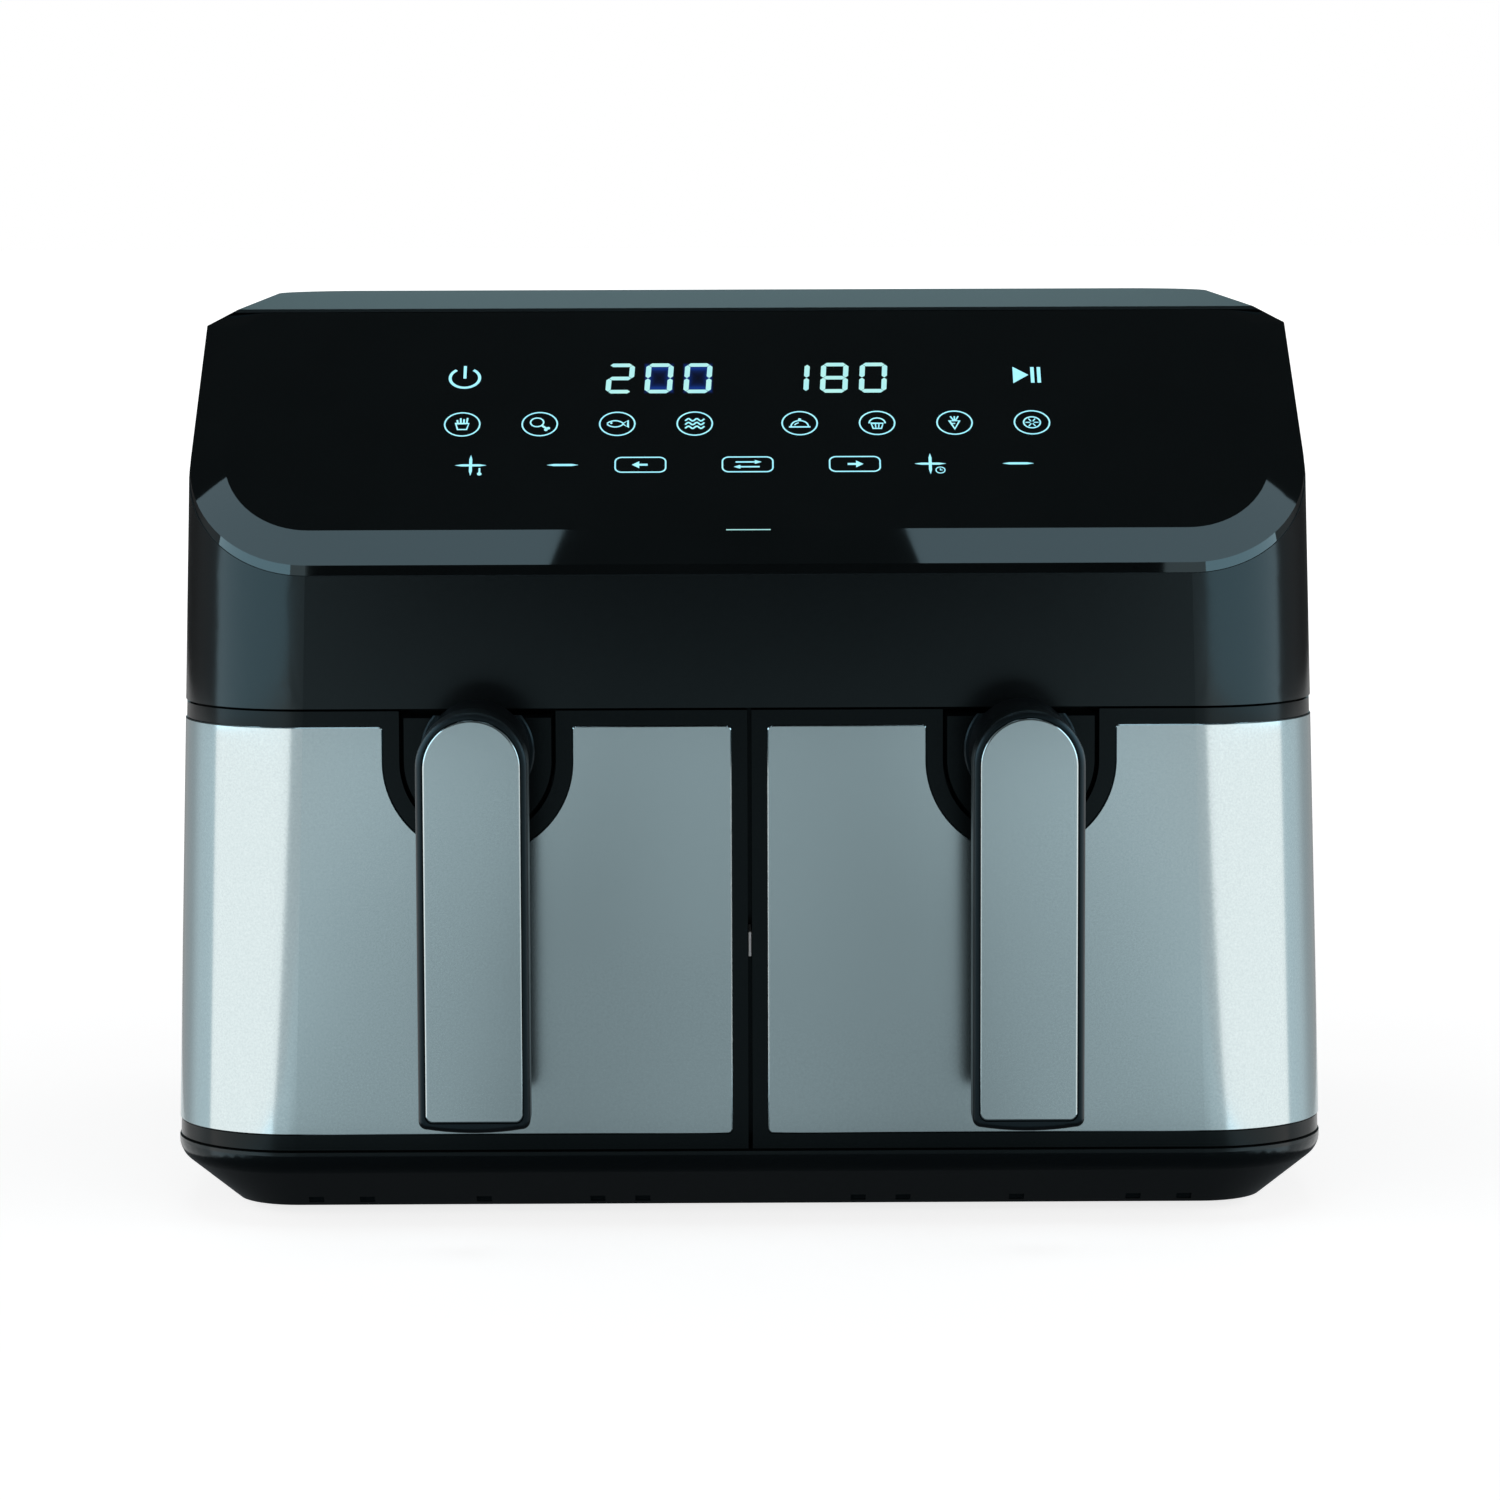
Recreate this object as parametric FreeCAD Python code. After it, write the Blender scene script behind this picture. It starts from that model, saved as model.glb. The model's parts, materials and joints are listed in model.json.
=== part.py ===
import FreeCAD, Part
import math
import os

# Air fryer with two side-by-side drawers under one sloping touch panel.
# Millimetres. +Z is up, the drawers open towards -Y, and the origin is on the floor
# under the middle of the whole footprint, handles and rear spacers included.
# Everything is modelled for the right-hand side and mirrored where it comes in pairs.

Vector = FreeCAD.Vector
UP = Vector(0, 0, 1)
BACKWARD = Vector(0, 1, 0)
FAR = 900.0                     # longer than anything in the model, for cutting tools
OVERCUT = 1.0                   # how far a cutting tool runs past the face it opens
TURN = 360.0                    # degrees in a full turn

# Overall body
BODY_WIDTH = 385.0              # at the seam above the base
BODY_DEPTH = 318.0              # drawer fronts to rear wall
BODY_HEIGHT = 300.0             # floor to top
SIDE_DRAFT = 1.63               # degrees that each side leans in towards the top
FRONT_CORNER_R = 42.0
BACK_CORNER_R = 40.0
CROWN_IN = 10.5                 # bevel round the top, across
CROWN_DROP = 5.5                # and down
FOOT_DROP = 3.5                 # feet hold the base this far off the floor
BASE_SEAM_Z = 25.0
UPPER_SEAM_Z = 172.6
SEAM = 0.8                      # gap between drawer fronts and housings
CENTRE_SEAM = 1.4               # gap between the two drawer fronts
FIT = 0.2                       # gap between pieces fixed to each other
RUN = 0.3                       # gap between pieces that slide

# Base
BASE_BAND = 5.0                 # from the seam down to the bend, before it is rounded
BASE_TUCK = 20.5                # how far the underside draws in
BASE_TUCK_R = 8.0               # wide bend between the band and the tuck
BASE_WALL = 2.8
FOOT_R = 9.0
FOOT_SEAT = 1.5
FOOT_CHAMFER = 1.2
FOOT_SIDE = 64.5                # feet stand this far inside the sides
FOOT_BACK = 50.0                # and this far inside the front and rear faces
BASE_SLOT_LENGTH = 46.0
BASE_SLOT_WIDTH = 4.0
BASE_SLOT_PITCH = 11.0
BASE_SLOT_COUNT = 7
CLIP_NOTCH = (5.0, 2.4)         # width and height of the clip notches low on the base
CLIP_NOTCH_X = (36.0, 51.0, 89.0, 128.0, 145.0)
CLIP_NOTCH_DEPTH = 1.0
SCREW_HEAD_R = 3.6
SCREW_HEAD_H = 2.4
SCREW_R = 1.9
POST_WALL = 2.2                 # hollow posts that carry the chambers
POST_WEB = 4.0                  # under the chamber, where the screw's head bears
POST_SIDE = 17.0                # in from a chamber's sides
POST_IN = 46.0                  # and from its mouth and back
POST_SCREW_END = 1.5            # screw end inside the chamber, under the basket

# Housings
HOUSING_WALL = 2.8
SHELL_WALL = 3.0
LEDGE = 2.5
FASCIA_GAP = 0.5                # closed drawers stop this far short of the fascia
FASCIA_T = 2.5
FASCIA_LAP = 5.0                # the fascia reaches this far up inside the upper housing
SHELL_LAP = 9.0                 # the fascia reaches this far inside the rear shell
INTAKE_SLOT = (3.0, 26.0)       # width and height of the rear air slots
INTAKE_PITCH = 7.0
INTAKE_COUNT = 9
INTAKE_SIDE = 74.5              # middle of each group of slots, in from the side
INTAKE_Z = 236.0

# Control panel
PANEL_LOW_Z = 216.3             # where the panel's seat meets the front
PANEL_SLOPE = 38.0
PANEL_T = 4.0
PANEL_EDGE_T = 2.6              # thickness left at the bevelled rim
PANEL_BEVEL_IN = 11.3
PANEL_GAP = 0.3
PANEL_LIP = 2.0                 # lip of the top that covers the panel's upper edge
SEAT_WALL = 3.0
DISPLAY_HALF_WIDTH = 112.0
DISPLAY_LOW = 26.0              # up the slope
DISPLAY_HIGH = 108.0
BOARD_T = 1.6
BOARD_LAP = 5.0                 # the display board overlaps its window all round
MODULE_SIZE = (46.0, 22.0)
MODULE_X = 38.0
MODULE_UP = 84.0

# Drawer fronts
FRONT_T = 19.0                  # drawer front, skin to back of its cover
WRAP_DEPTH = 54.0               # how far the front wraps round the side
FRAME_WALL = 2.8
FRAME_BORDER = 5.2              # plastic that shows round the steel
SKIN_T = 1.0
SKIN_PROUD = 0.4
SKIN_BED = 0.05
SKIN_GAP = 0.25
SKIN_CORNER_R = 1.6
SKIN_EDGE = 0.35                # fine bevel round the steel's face
COVER_T = 3.0
SPACER_SPAN = (90.0, 98.0)      # heights of the pale spacer between the drawers
SPACER_T = 0.8
SPACER_SINK = 1.4

# Handles
HANDLE_REACH = 48.8             # face of the handle's insert ahead of the drawer front
HANDLE_WIDTH = 36.0
HANDLE_T = 17.0
HANDLE_LOW_Z = 41.4
HANDLE_HIGH_Z = 176.4
HANDLE_FOOT_R = 2.8
HANDLE_FOOT_BULGE = 1.2
HANDLE_FRONT_R = 1.8
HANDLE_BACK_R = 2.6
NOTCH_R = 31.1                  # round notch in the steel behind the handle
NOTCH_Z = 155.0
NOTCH_LIP_R = 1.2
MOUNT_R = 25.1
MOUNT_GAP = 0.6
MOUNT_SINK = 0.8
MOUNT_DROP = 1.5                # top of the mount below the top of the drawer front
MOUNT_BEVEL = 0.9
NECK_WAIST_R = 13.5
NECK_FOOT_R = 18.7              # round foot of the neck, level with the drawer front
NECK_FOOT_LAND = 1.5            # flat left round the flare
NECK_FOOT_BEVEL = 0.5
INSERT_RIM = 2.3
INSERT_T = 1.6
INSERT_PROUD = 0.3
INSERT_GAP = 0.3
INSERT_FOOT_R = 2.4
INSERT_EDGE_R = 0.7
HANDLE_SCREW_SPREAD = 8.0
HANDLE_SCREW_LENGTH = 26.0

# Baskets and their plates
CHAMBER_IN = 6.2                # from the middle of the body to a chamber's inside
CHAMBER_SIDE = 20.3             # and from its other side to the body's widest line
CHAMBER_FLOOR_Z = 30.0
CHAMBER_ROOF_Z = 168.0
CHAMBER_WALL = 1.0
CHAMBER_R = 8.0
CHAMBER_FLANGE = 3.6
BASKET_SIDE_GAP = 3.0
BASKET_LENGTH = 226.0
BASKET_BACK_GAP = 8.0
BASKET_TOP_Z = 151.0
BASKET_WALL = 1.2
BASKET_DRAFT = 4.0              # floor smaller than mouth, each side
BASKET_R = 20.0
BASKET_FLOOR_R = 8.0
RIM_WIDTH = 3.0
RIM_T = 1.5
PAD_HALF_WIDTH = 34.0
PAD_SPAN = (92.0, 142.0)
RUNNER_HEIGHT = 2.7
RUNNER_WIDTH = 7.0
RUNNER_SIDE = 31.0
PLATE_RISE = 15.0               # plate above the basket's floor
PLATE_T = 1.4
PLATE_GAP = 3.2
PLATE_RIM = 5.0                 # turned down all round
PLATE_SLOT = (5.0, 22.0)
PLATE_SLOT_COLUMNS = 8
PLATE_SLOT_ROWS = 6
PLATE_SLOT_PITCH = (15.0, 31.0)
BUMPER_SIZE = (14.0, 4.0, 16.0)  # length, grip under the plate, height
BUMPER_SPREAD = 58.0

# Heating and air
DOME_R = 70.0
DOME_TOP_Z = 206.0
HEATER_R = 3.2
HEATER_Z = 177.0
HEATER_OUTER_R = 61.0
HEATER_INNER_R = 45.0
HEATER_BEND_R = 8.0
HEATER_TURN_AT = 50.0           # degrees from the right, where the ring doubles back
HEATER_TAIL = 10.0              # terminals above the dome
GUARD_LAP = 4.0                 # guard past the dome, under the roof
GUARD_T = 1.2
GUARD_BAR = 4.0
GUARD_RINGS = (14.0, 27.0, 40.0, 53.0, 66.0)
GUARD_SPOKES = 6
SHAFT_R = 4.0
SHAFT_RUN = 0.05
SHAFT_HOLE_R = 6.0
FAN_R = 51.0
FAN_HUB_R = 9.0
FAN_EYE_R = 16.0                # blades start this far out
FAN_LOW_Z = 187.0
FAN_HEIGHT = 13.0
FAN_SHEET = 1.2
FAN_BLADES = 10
FAN_SWEEP = 18.0
NUT_R = 7.0
NUT_SIDES = 6
NUT_H = 4.5
COOLER_R = 34.0
COOLER_HEIGHT = 8.0
COOLER_BLADES = 7
COOLER_TILT = 38.0
COOLER_HUB_R = 10.0
COOLER_BLADE_T = 1.4
BRACKET_RISE = 15.0             # bracket above the dome
BRACKET_T = 1.5
BRACKET_SPAN = 104.0
BRACKET_WIDTH = 40.0
BRACKET_FOOT = 10.0
MOTOR_R = 27.0
MOTOR_H = 34.0
MOTOR_WALL = 2.0
STATOR_SIZE = 58.0
STATOR_H = 15.0
STATOR_R = 6.0
MOTOR_BEVEL = 3.0
ROTOR_R = 16.0
ROTOR_GAP = 1.0
SHAFT_TIP = 1.0                 # bevel at both ends of the shaft
SHAFT_END = 3.0                 # shaft past the motor at the top and the nut below
BUSH_H = 6.0

# Rear
VENT_SIZE = (96.0, 40.0)
VENT_Z = 142.0
VENT_STAND_OFF = 8.0            # the vents hold the body off a wall
VENT_RIM = 4.0
VENT_R = 6.0
VENT_THROAT_R = 1.0
VENT_EDGE_R = 2.0
VENT_SLAT_SINK = 1.0            # slats stand back from both ends of the vent
VENT_SLATS = 5
VENT_SLAT_T = 1.6
VENT_SLAT_TILT = 30.0
DUCT_WALL = 1.5
GLAND_SIDE = 72.5               # in from the left side, seen from the front
GLAND_Z = 48.0
GLAND_R = 8.0
GLAND_FLANGE_R = 11.5
GLAND_FLANGE_T = 2.5
GLAND_BORE_R = 3.8
GLAND_EDGE_R = 1.0
GLAND_TAIL = 8.0                # gland inside the wall
POWER_BOARD = (112.0, 60.0)
POWER_BOARD_Z = 216.0
BOSS_R = 4.0
BOSS_RISE = 7.0
TRANSFORMER = (28.0, 22.0, 26.0)
TRANSFORMER_X = -28.0
RELAY = (14.0, 15.0, 18.0)
RELAY_X = (20.0, 37.0)
CAPACITOR_R = 6.0
CAPACITOR_H = 24.0
PROBE_R = 2.0
PROBE_REACH = 26.0
PROBE_TAIL = 12.0
PROBE_FLANGE_R = 6.0
PROBE_FLANGE_T = 3.0
PROBE_Z = 159.0
PROBE_CLEAR = 8.0               # between the probe's flange and the air outlet
SWITCH_SIZE = (20.0, 8.0, 12.0)
SWITCH_Z = 62.0
PLUNGER_R = 2.0

# Places worked out from the sizes above
FRONT_Y = HANDLE_REACH - (HANDLE_REACH + BODY_DEPTH + VENT_STAND_OFF) / 2
CHAMBER_WIDTH = BODY_WIDTH / 2 - CHAMBER_IN - CHAMBER_SIDE
DRAWER_X = CHAMBER_IN + CHAMBER_WIDTH / 2
FOOT_X = BODY_WIDTH / 2 - FOOT_SIDE
POST_SPREAD = CHAMBER_WIDTH / 2 - POST_SIDE
RUNNER_SPREAD = CHAMBER_WIDTH / 2 - RUNNER_SIDE
INTAKE_X = BODY_WIDTH / 2 - INTAKE_SIDE
GLAND_X = GLAND_SIDE - BODY_WIDTH / 2
PROBE_X = VENT_SIZE[0] / 2 - VENT_RIM + PROBE_CLEAR + PROBE_FLANGE_R
BACK_Y = FRONT_Y + BODY_DEPTH
COVER_BACK_Y = FRONT_Y + FRONT_T
COVER_FRONT_Y = COVER_BACK_Y - COVER_T
WRAP_END_Y = FRONT_Y + WRAP_DEPTH
SHELL_FRONT_Y = WRAP_END_Y + SEAM
FASCIA_INSET = SHELL_WALL + RUN
FASCIA_FRONT_Y = COVER_BACK_Y + FASCIA_GAP
FASCIA_BACK_Y = FASCIA_FRONT_Y + FASCIA_T
FASCIA_END_Y = SHELL_FRONT_Y + SHELL_LAP
FRONT_LOW_Z = BASE_SEAM_Z + SEAM
FRONT_HIGH_Z = UPPER_SEAM_Z - SEAM
BASKET_FRONT_Y = COVER_BACK_Y + RIM_WIDTH
BASKET_BACK_Y = BASKET_FRONT_Y + BASKET_LENGTH
BASKET_HALF_WIDTH = CHAMBER_WIDTH / 2 - BASKET_SIDE_GAP - RIM_WIDTH
BASKET_LOW_Z = CHAMBER_FLOOR_Z + RUNNER_HEIGHT + RUN
CHAMBER_BACK_Y = BASKET_BACK_Y + RIM_WIDTH + BASKET_BACK_GAP
FAN_Y = (BASKET_FRONT_Y + BASKET_BACK_Y) / 2
BRACKET_Z = DOME_TOP_Z + CHAMBER_WALL + BRACKET_RISE
MOTOR_Z = BRACKET_Z + BRACKET_T
GUARD_R = DOME_R + GUARD_LAP
HANDLE_FRONT_Y = FRONT_Y - HANDLE_REACH + INSERT_PROUD
HANDLE_BACK_Y = HANDLE_FRONT_Y + HANDLE_T
HANDLE_ROUND_Z = HANDLE_HIGH_Z - HANDLE_WIDTH / 2
MOUNT_FRONT_Y = FRONT_Y + SKIN_PROUD + MOUNT_SINK
PLATE_Z = BASKET_LOW_Z + BASKET_WALL + PLATE_RISE
PLATE_LOW_Z = PLATE_Z - PLATE_RIM
PANEL_FRAME = FreeCAD.Placement(
    Vector(0, FRONT_Y, PANEL_LOW_Z), FreeCAD.Rotation(Vector(1, 0, 0), PANEL_SLOPE)
)
SLOPE_SIN = math.sin(math.radians(PANEL_SLOPE))
SLOPE_COS = math.cos(math.radians(PANEL_SLOPE))
PANEL_TOP = (BODY_HEIGHT - PANEL_LOW_Z - PANEL_T * SLOPE_COS) / SLOPE_SIN - PANEL_LIP


# Basic shapes
def box(x0, x1, y0, y1, z0, z1):
    return Part.makeBox(x1 - x0, y1 - y0, z1 - z0, Vector(x0, y0, z0))


def rod(radius, start, length, axis=UP):
    return Part.makeCylinder(radius, length, start, axis)


def sloped_box(u0, u1, v0, v1, w0, w1):
    """A box in the panel's own directions: across, up the slope, and out of it."""
    block = box(u0, u1, v0, v1, w0, w1)
    block.Placement = PANEL_FRAME
    return block


def rounded_polygon(points, radii):
    """A closed wire through the points, with each corner rounded by its own radius."""
    count = len(points)
    stops = []
    for i, corner in enumerate(points):
        before = (points[i - 1] - corner).normalize()
        after = (points[(i + 1) % count] - corner).normalize()
        if radii[i] == 0:
            stops.append((corner, None, corner))
            continue
        half = before.getAngle(after) / 2
        reach = radii[i] / math.tan(half)
        inward = (before + after).normalize()
        middle = corner + inward * (radii[i] / math.sin(half) - radii[i])
        stops.append((corner + before * reach, middle, corner + after * reach))
    edges = []
    for i, (start, middle, end) in enumerate(stops):
        if middle is not None:
            edges.append(Part.Arc(start, middle, end).toShape())
        following = stops[(i + 1) % count][0]
        if (following - end).Length > 1e-6:
            edges.append(Part.LineSegment(end, following).toShape())
    return Part.Wire(edges)


def upright_slab(corners, radii, y0, y1):
    """A plate that stands across Y, from a list of (x, z) corners."""
    wire = rounded_polygon([Vector(x, y0, z) for x, z in corners], radii)
    return Part.Face(wire).extrude(Vector(0, y1 - y0, 0))


def level_outline(x0, x1, y0, y1, z, radius):
    corners = [Vector(x0, y0, z), Vector(x1, y0, z), Vector(x1, y1, z), Vector(x0, y1, z)]
    return rounded_polygon(corners, [radius] * 4)


def turned(points, centre):
    """A solid of revolution about a vertical axis from a closed (radius, z) outline."""
    corners = [Vector(centre.x + r, centre.y, z) for r, z in points]
    face = Part.Face(Part.makePolygon(corners + corners[:1]))
    return face.revolve(Vector(centre.x, centre.y, 0), UP, TURN)


def union(shapes):
    return shapes[0].multiFuse(shapes[1:]).removeSplitter()


def edges_where(shape, test):
    return [edge for edge in shape.Edges if test(edge.BoundBox)]


def runs_through(bounds, x, z):
    """Whether an edge with these bounds lies along Y through a point."""
    return max(abs(bounds.XMin - x), abs(bounds.XMax - x), abs(bounds.ZMin - z), abs(bounds.ZMax - z)) < 1e-4


def mirrored(shape):
    return shape.mirror(Vector(0, 0, 0), Vector(1, 0, 0))


# The body's tapering rounded form, which every outer piece is cut from
def half_width(z):
    return BODY_WIDTH / 2 - (z - BASE_SEAM_Z) * math.tan(math.radians(SIDE_DRAFT))


def body_outline(inset, z):
    side = half_width(z) - inset
    front = FRONT_Y + inset
    back = BACK_Y - inset
    corners = [(-side, front), (side, front), (side, back), (-side, back)]
    front_r = FRONT_CORNER_R - inset
    back_r = BACK_CORNER_R - inset
    return rounded_polygon([Vector(x, y, z) for x, y in corners], [front_r, front_r, back_r, back_r])


def body_block(inset, low, high):
    return Part.makeLoft([body_outline(inset, low), body_outline(inset, high)], True, True)


def head_block(inset, low, high):
    """The upper body with the bevel round its top."""
    shoulder = high - CROWN_DROP
    crown = body_outline(inset + CROWN_IN, high)
    outlines = [body_outline(inset, low), body_outline(inset, shoulder), crown]
    return Part.makeLoft(outlines, True, True)


# Base
def base_block(inset, low, high):
    """The base's form at a depth inside its wall, with the wide bend above the tuck."""
    tuck_angle = math.atan2(BASE_TUCK, BASE_SEAM_Z - BASE_BAND - FOOT_DROP)
    band = BASE_SEAM_Z - BASE_BAND + inset * math.tan(tuck_angle / 2)
    outlines = [body_outline(inset, high), body_outline(inset, band), body_outline(inset + BASE_TUCK, low)]
    block = Part.makeLoft(outlines, True, True)
    bend = edges_where(block, lambda b: abs(b.ZMin - band) < 1e-4 and abs(b.ZMax - band) < 1e-4)
    return block.makeFillet(BASE_TUCK_R - inset, bend)


def foot_places():
    for x in (-FOOT_X, FOOT_X):
        for y in (FRONT_Y + FOOT_BACK, BACK_Y - FOOT_BACK):
            yield Vector(x, y, 0)


def post_places():
    """Where the base carries the chambers, at the underside of their floors."""
    for middle in (-DRAWER_X, DRAWER_X):
        for x in (middle - POST_SPREAD, middle + POST_SPREAD):
            for y in (FASCIA_BACK_Y + POST_IN, CHAMBER_BACK_Y - POST_IN):
                yield Vector(x, y, CHAMBER_FLOOR_Z - CHAMBER_WALL)


def make_base_pan():
    pan = base_block(0, FOOT_DROP, BASE_SEAM_Z)
    pan = pan.cut(base_block(BASE_WALL, FOOT_DROP + BASE_WALL, BASE_SEAM_Z + OVERCUT))
    ledge = body_block(BASE_WALL / 2, BASE_SEAM_Z - LEDGE, BASE_SEAM_Z)
    ledge = ledge.common(box(-FAR, FAR, -FAR, FASCIA_FRONT_Y - FIT, 0, FAR))
    post_r = SCREW_HEAD_R + FIT + POST_WALL
    posts = [rod(post_r, Vector(p.x, p.y, FOOT_DROP), p.z - FOOT_DROP) for p in post_places()]
    pan = union([pan, ledge] + posts)
    cuts = []
    for place in foot_places():
        cuts.append(rod(FOOT_R + FIT, place, FOOT_DROP + FOOT_SEAT))
    for place in post_places():
        cuts.append(rod(SCREW_R + FIT, place - UP * (POST_WEB + OVERCUT), POST_WEB + 2 * OVERCUT))
        cuts.append(rod(SCREW_HEAD_R + FIT, Vector(place.x, place.y, 0), place.z - POST_WEB))
    first = -BASE_SLOT_PITCH * (BASE_SLOT_COUNT - 1) / 2
    for side in (-DRAWER_X, DRAWER_X):
        for i in range(BASE_SLOT_COUNT):
            x = side + first + i * BASE_SLOT_PITCH
            outline = level_outline(
                x - BASE_SLOT_WIDTH / 2, x + BASE_SLOT_WIDTH / 2,
                FAN_Y - BASE_SLOT_LENGTH / 2, FAN_Y + BASE_SLOT_LENGTH / 2,
                0, BASE_SLOT_WIDTH / 2,
            )
            cuts.append(Part.Face(outline).extrude(UP * (FOOT_DROP + BASE_WALL + OVERCUT)))
    width, height = CLIP_NOTCH
    run = BASE_TUCK / (BASE_SEAM_Z - BASE_BAND - FOOT_DROP)
    low = FOOT_DROP + height / 2
    deep = FRONT_Y + BASE_TUCK - height / 2 * run + CLIP_NOTCH_DEPTH
    for x in CLIP_NOTCH_X:
        for side in (-x, x):
            cuts.append(box(side - width / 2, side + width / 2, -FAR, deep, low, low + height))
    return pan.cut(Part.makeCompound(cuts)).removeSplitter()


def make_rubber_feet():
    top = FOOT_DROP + FOOT_SEAT
    outline = [(0, 0), (FOOT_R - FOOT_CHAMFER, 0), (FOOT_R, FOOT_CHAMFER), (FOOT_R, top), (0, top)]
    return Part.makeCompound([turned(outline, place) for place in foot_places()])


def make_base_screws():
    screws = []
    length = POST_WEB + CHAMBER_WALL + POST_SCREW_END
    for place in post_places():
        seat = place - UP * POST_WEB
        head = rod(SCREW_HEAD_R, seat - UP * SCREW_HEAD_H, SCREW_HEAD_H)
        screws.append(union([head, rod(SCREW_R, seat, length)]))
    return Part.makeCompound(screws)


# Outer housings
def make_rear_shell():
    shell = body_block(0, BASE_SEAM_Z, UPPER_SEAM_Z)
    shell = shell.common(box(-FAR, FAR, SHELL_FRONT_Y, FAR, -FAR, FAR))
    shell = shell.cut(body_block(SHELL_WALL, BASE_SEAM_Z - OVERCUT, UPPER_SEAM_Z + OVERCUT))
    start = BACK_Y - SHELL_WALL - OVERCUT
    cuts = [vent_prism(x, VENT_RIM - FIT, start, BACK_Y + OVERCUT) for x in (-DRAWER_X, DRAWER_X)]
    cuts.append(rod(GLAND_R + FIT, Vector(GLAND_X, start, GLAND_Z), SHELL_WALL + 2 * OVERCUT, BACKWARD))
    return shell.cut(Part.makeCompound(cuts))


def intake_slots():
    width, height = INTAKE_SLOT
    first = -INTAKE_PITCH * (INTAKE_COUNT - 1) / 2
    slots = []
    for side in (-INTAKE_X, INTAKE_X):
        for i in range(INTAKE_COUNT):
            x = side + first + i * INTAKE_PITCH
            corners = [
                (x - width / 2, INTAKE_Z - height / 2), (x + width / 2, INTAKE_Z - height / 2),
                (x + width / 2, INTAKE_Z + height / 2), (x - width / 2, INTAKE_Z + height / 2),
            ]
            start = BACK_Y - HOUSING_WALL - OVERCUT
            slots.append(upright_slab(corners, [width / 2] * 4, start, BACK_Y + OVERCUT))
    return Part.makeCompound(slots)


def power_board_corners():
    half_w, half_h = POWER_BOARD[0] / 2 - BOSS_R, POWER_BOARD[1] / 2 - BOSS_R
    for x in (-half_w, half_w):
        for z in (POWER_BOARD_Z - half_h, POWER_BOARD_Z + half_h):
            yield x, z


def make_upper_housing():
    shell = head_block(0, UPPER_SEAM_Z, BODY_HEIGHT)
    shell = shell.cut(sloped_box(-FAR, FAR, -FAR, PANEL_TOP + PANEL_GAP, 0, FAR))
    shell = shell.cut(sloped_box(-FAR, FAR, -FAR, FAR, PANEL_T, FAR))
    cavity = head_block(HOUSING_WALL, UPPER_SEAM_Z - OVERCUT, BODY_HEIGHT - HOUSING_WALL)
    cavity = cavity.cut(sloped_box(-FAR, FAR, -FAR, FAR, -SEAT_WALL, FAR))
    shell = shell.cut(cavity)
    ledge = body_block(HOUSING_WALL / 2, UPPER_SEAM_Z, UPPER_SEAM_Z + LEDGE)
    ledge = ledge.common(box(-FAR, FAR, -FAR, FASCIA_FRONT_Y - FIT, 0, FAR))
    bosses = []
    inner_wall = BACK_Y - HOUSING_WALL
    for x, z in power_board_corners():
        bosses.append(rod(BOSS_R, Vector(x, inner_wall - BOSS_RISE, z), BOSS_RISE + OVERCUT, BACKWARD))
    shell = union([shell, ledge] + bosses)
    window = sloped_box(
        -DISPLAY_HALF_WIDTH, DISPLAY_HALF_WIDTH, DISPLAY_LOW, DISPLAY_HIGH, -SEAT_WALL - OVERCUT, OVERCUT
    )
    return shell.cut(Part.makeCompound([window, intake_slots()]))


def make_front_fascia():
    low = BASE_SEAM_Z - LEDGE
    high = UPPER_SEAM_Z + FASCIA_LAP
    fascia = body_block(FASCIA_INSET, low, high)
    fascia = fascia.common(box(-FAR, FAR, FASCIA_FRONT_Y, FASCIA_END_Y, low, high))
    hollow = body_block(FASCIA_INSET + FASCIA_T, low - OVERCUT, high + OVERCUT)
    fascia = fascia.cut(hollow.common(box(-FAR, FAR, FASCIA_BACK_Y, FAR, -FAR, FAR)))
    mouth = chamber_tunnel(0, FASCIA_FRONT_Y - OVERCUT, FASCIA_BACK_Y + OVERCUT)
    return fascia.cut(Part.makeCompound([mouth, mirrored(mouth)]))


def make_drawer_spacer():
    return box(-SPACER_T / 2, SPACER_T / 2, FRONT_Y + SPACER_SINK, FASCIA_FRONT_Y, *SPACER_SPAN)


# Control panel and electronics
def panel_outline(inset, out):
    """The panel's edge, from the body's own form, at a height above its seat."""
    corners = [(-FAR, -FAR), (FAR, -FAR), (FAR, PANEL_TOP), (-FAR, PANEL_TOP), (-FAR, -FAR)]
    plane = Part.Face(Part.makePolygon([Vector(u, v, out) for u, v in corners]))
    plane.Placement = PANEL_FRAME
    return head_block(inset, UPPER_SEAM_Z, BODY_HEIGHT).common(plane).Faces[0].OuterWire


def make_control_panel():
    edge = head_block(PANEL_GAP, UPPER_SEAM_Z, BODY_HEIGHT)
    edge = edge.common(sloped_box(-FAR, FAR, -FAR, PANEL_TOP, 0, PANEL_EDGE_T))
    rim = panel_outline(PANEL_GAP, PANEL_EDGE_T)
    face = panel_outline(PANEL_GAP + PANEL_BEVEL_IN, PANEL_T)
    return union([edge, Part.makeLoft([rim, face], True, True)])


def module_boxes(margin, low, high):
    half_w, half_h = MODULE_SIZE[0] / 2 + margin, MODULE_SIZE[1] / 2 + margin
    for x in (-MODULE_X, MODULE_X):
        yield sloped_box(x - half_w, x + half_w, MODULE_UP - half_h, MODULE_UP + half_h, low, high)


def make_display_frame():
    half = DISPLAY_HALF_WIDTH - FIT
    frame = sloped_box(-half, half, DISPLAY_LOW + FIT, DISPLAY_HIGH - FIT, -SEAT_WALL, 0)
    return frame.cut(Part.makeCompound(list(module_boxes(FIT, -SEAT_WALL - OVERCUT, OVERCUT))))


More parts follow.
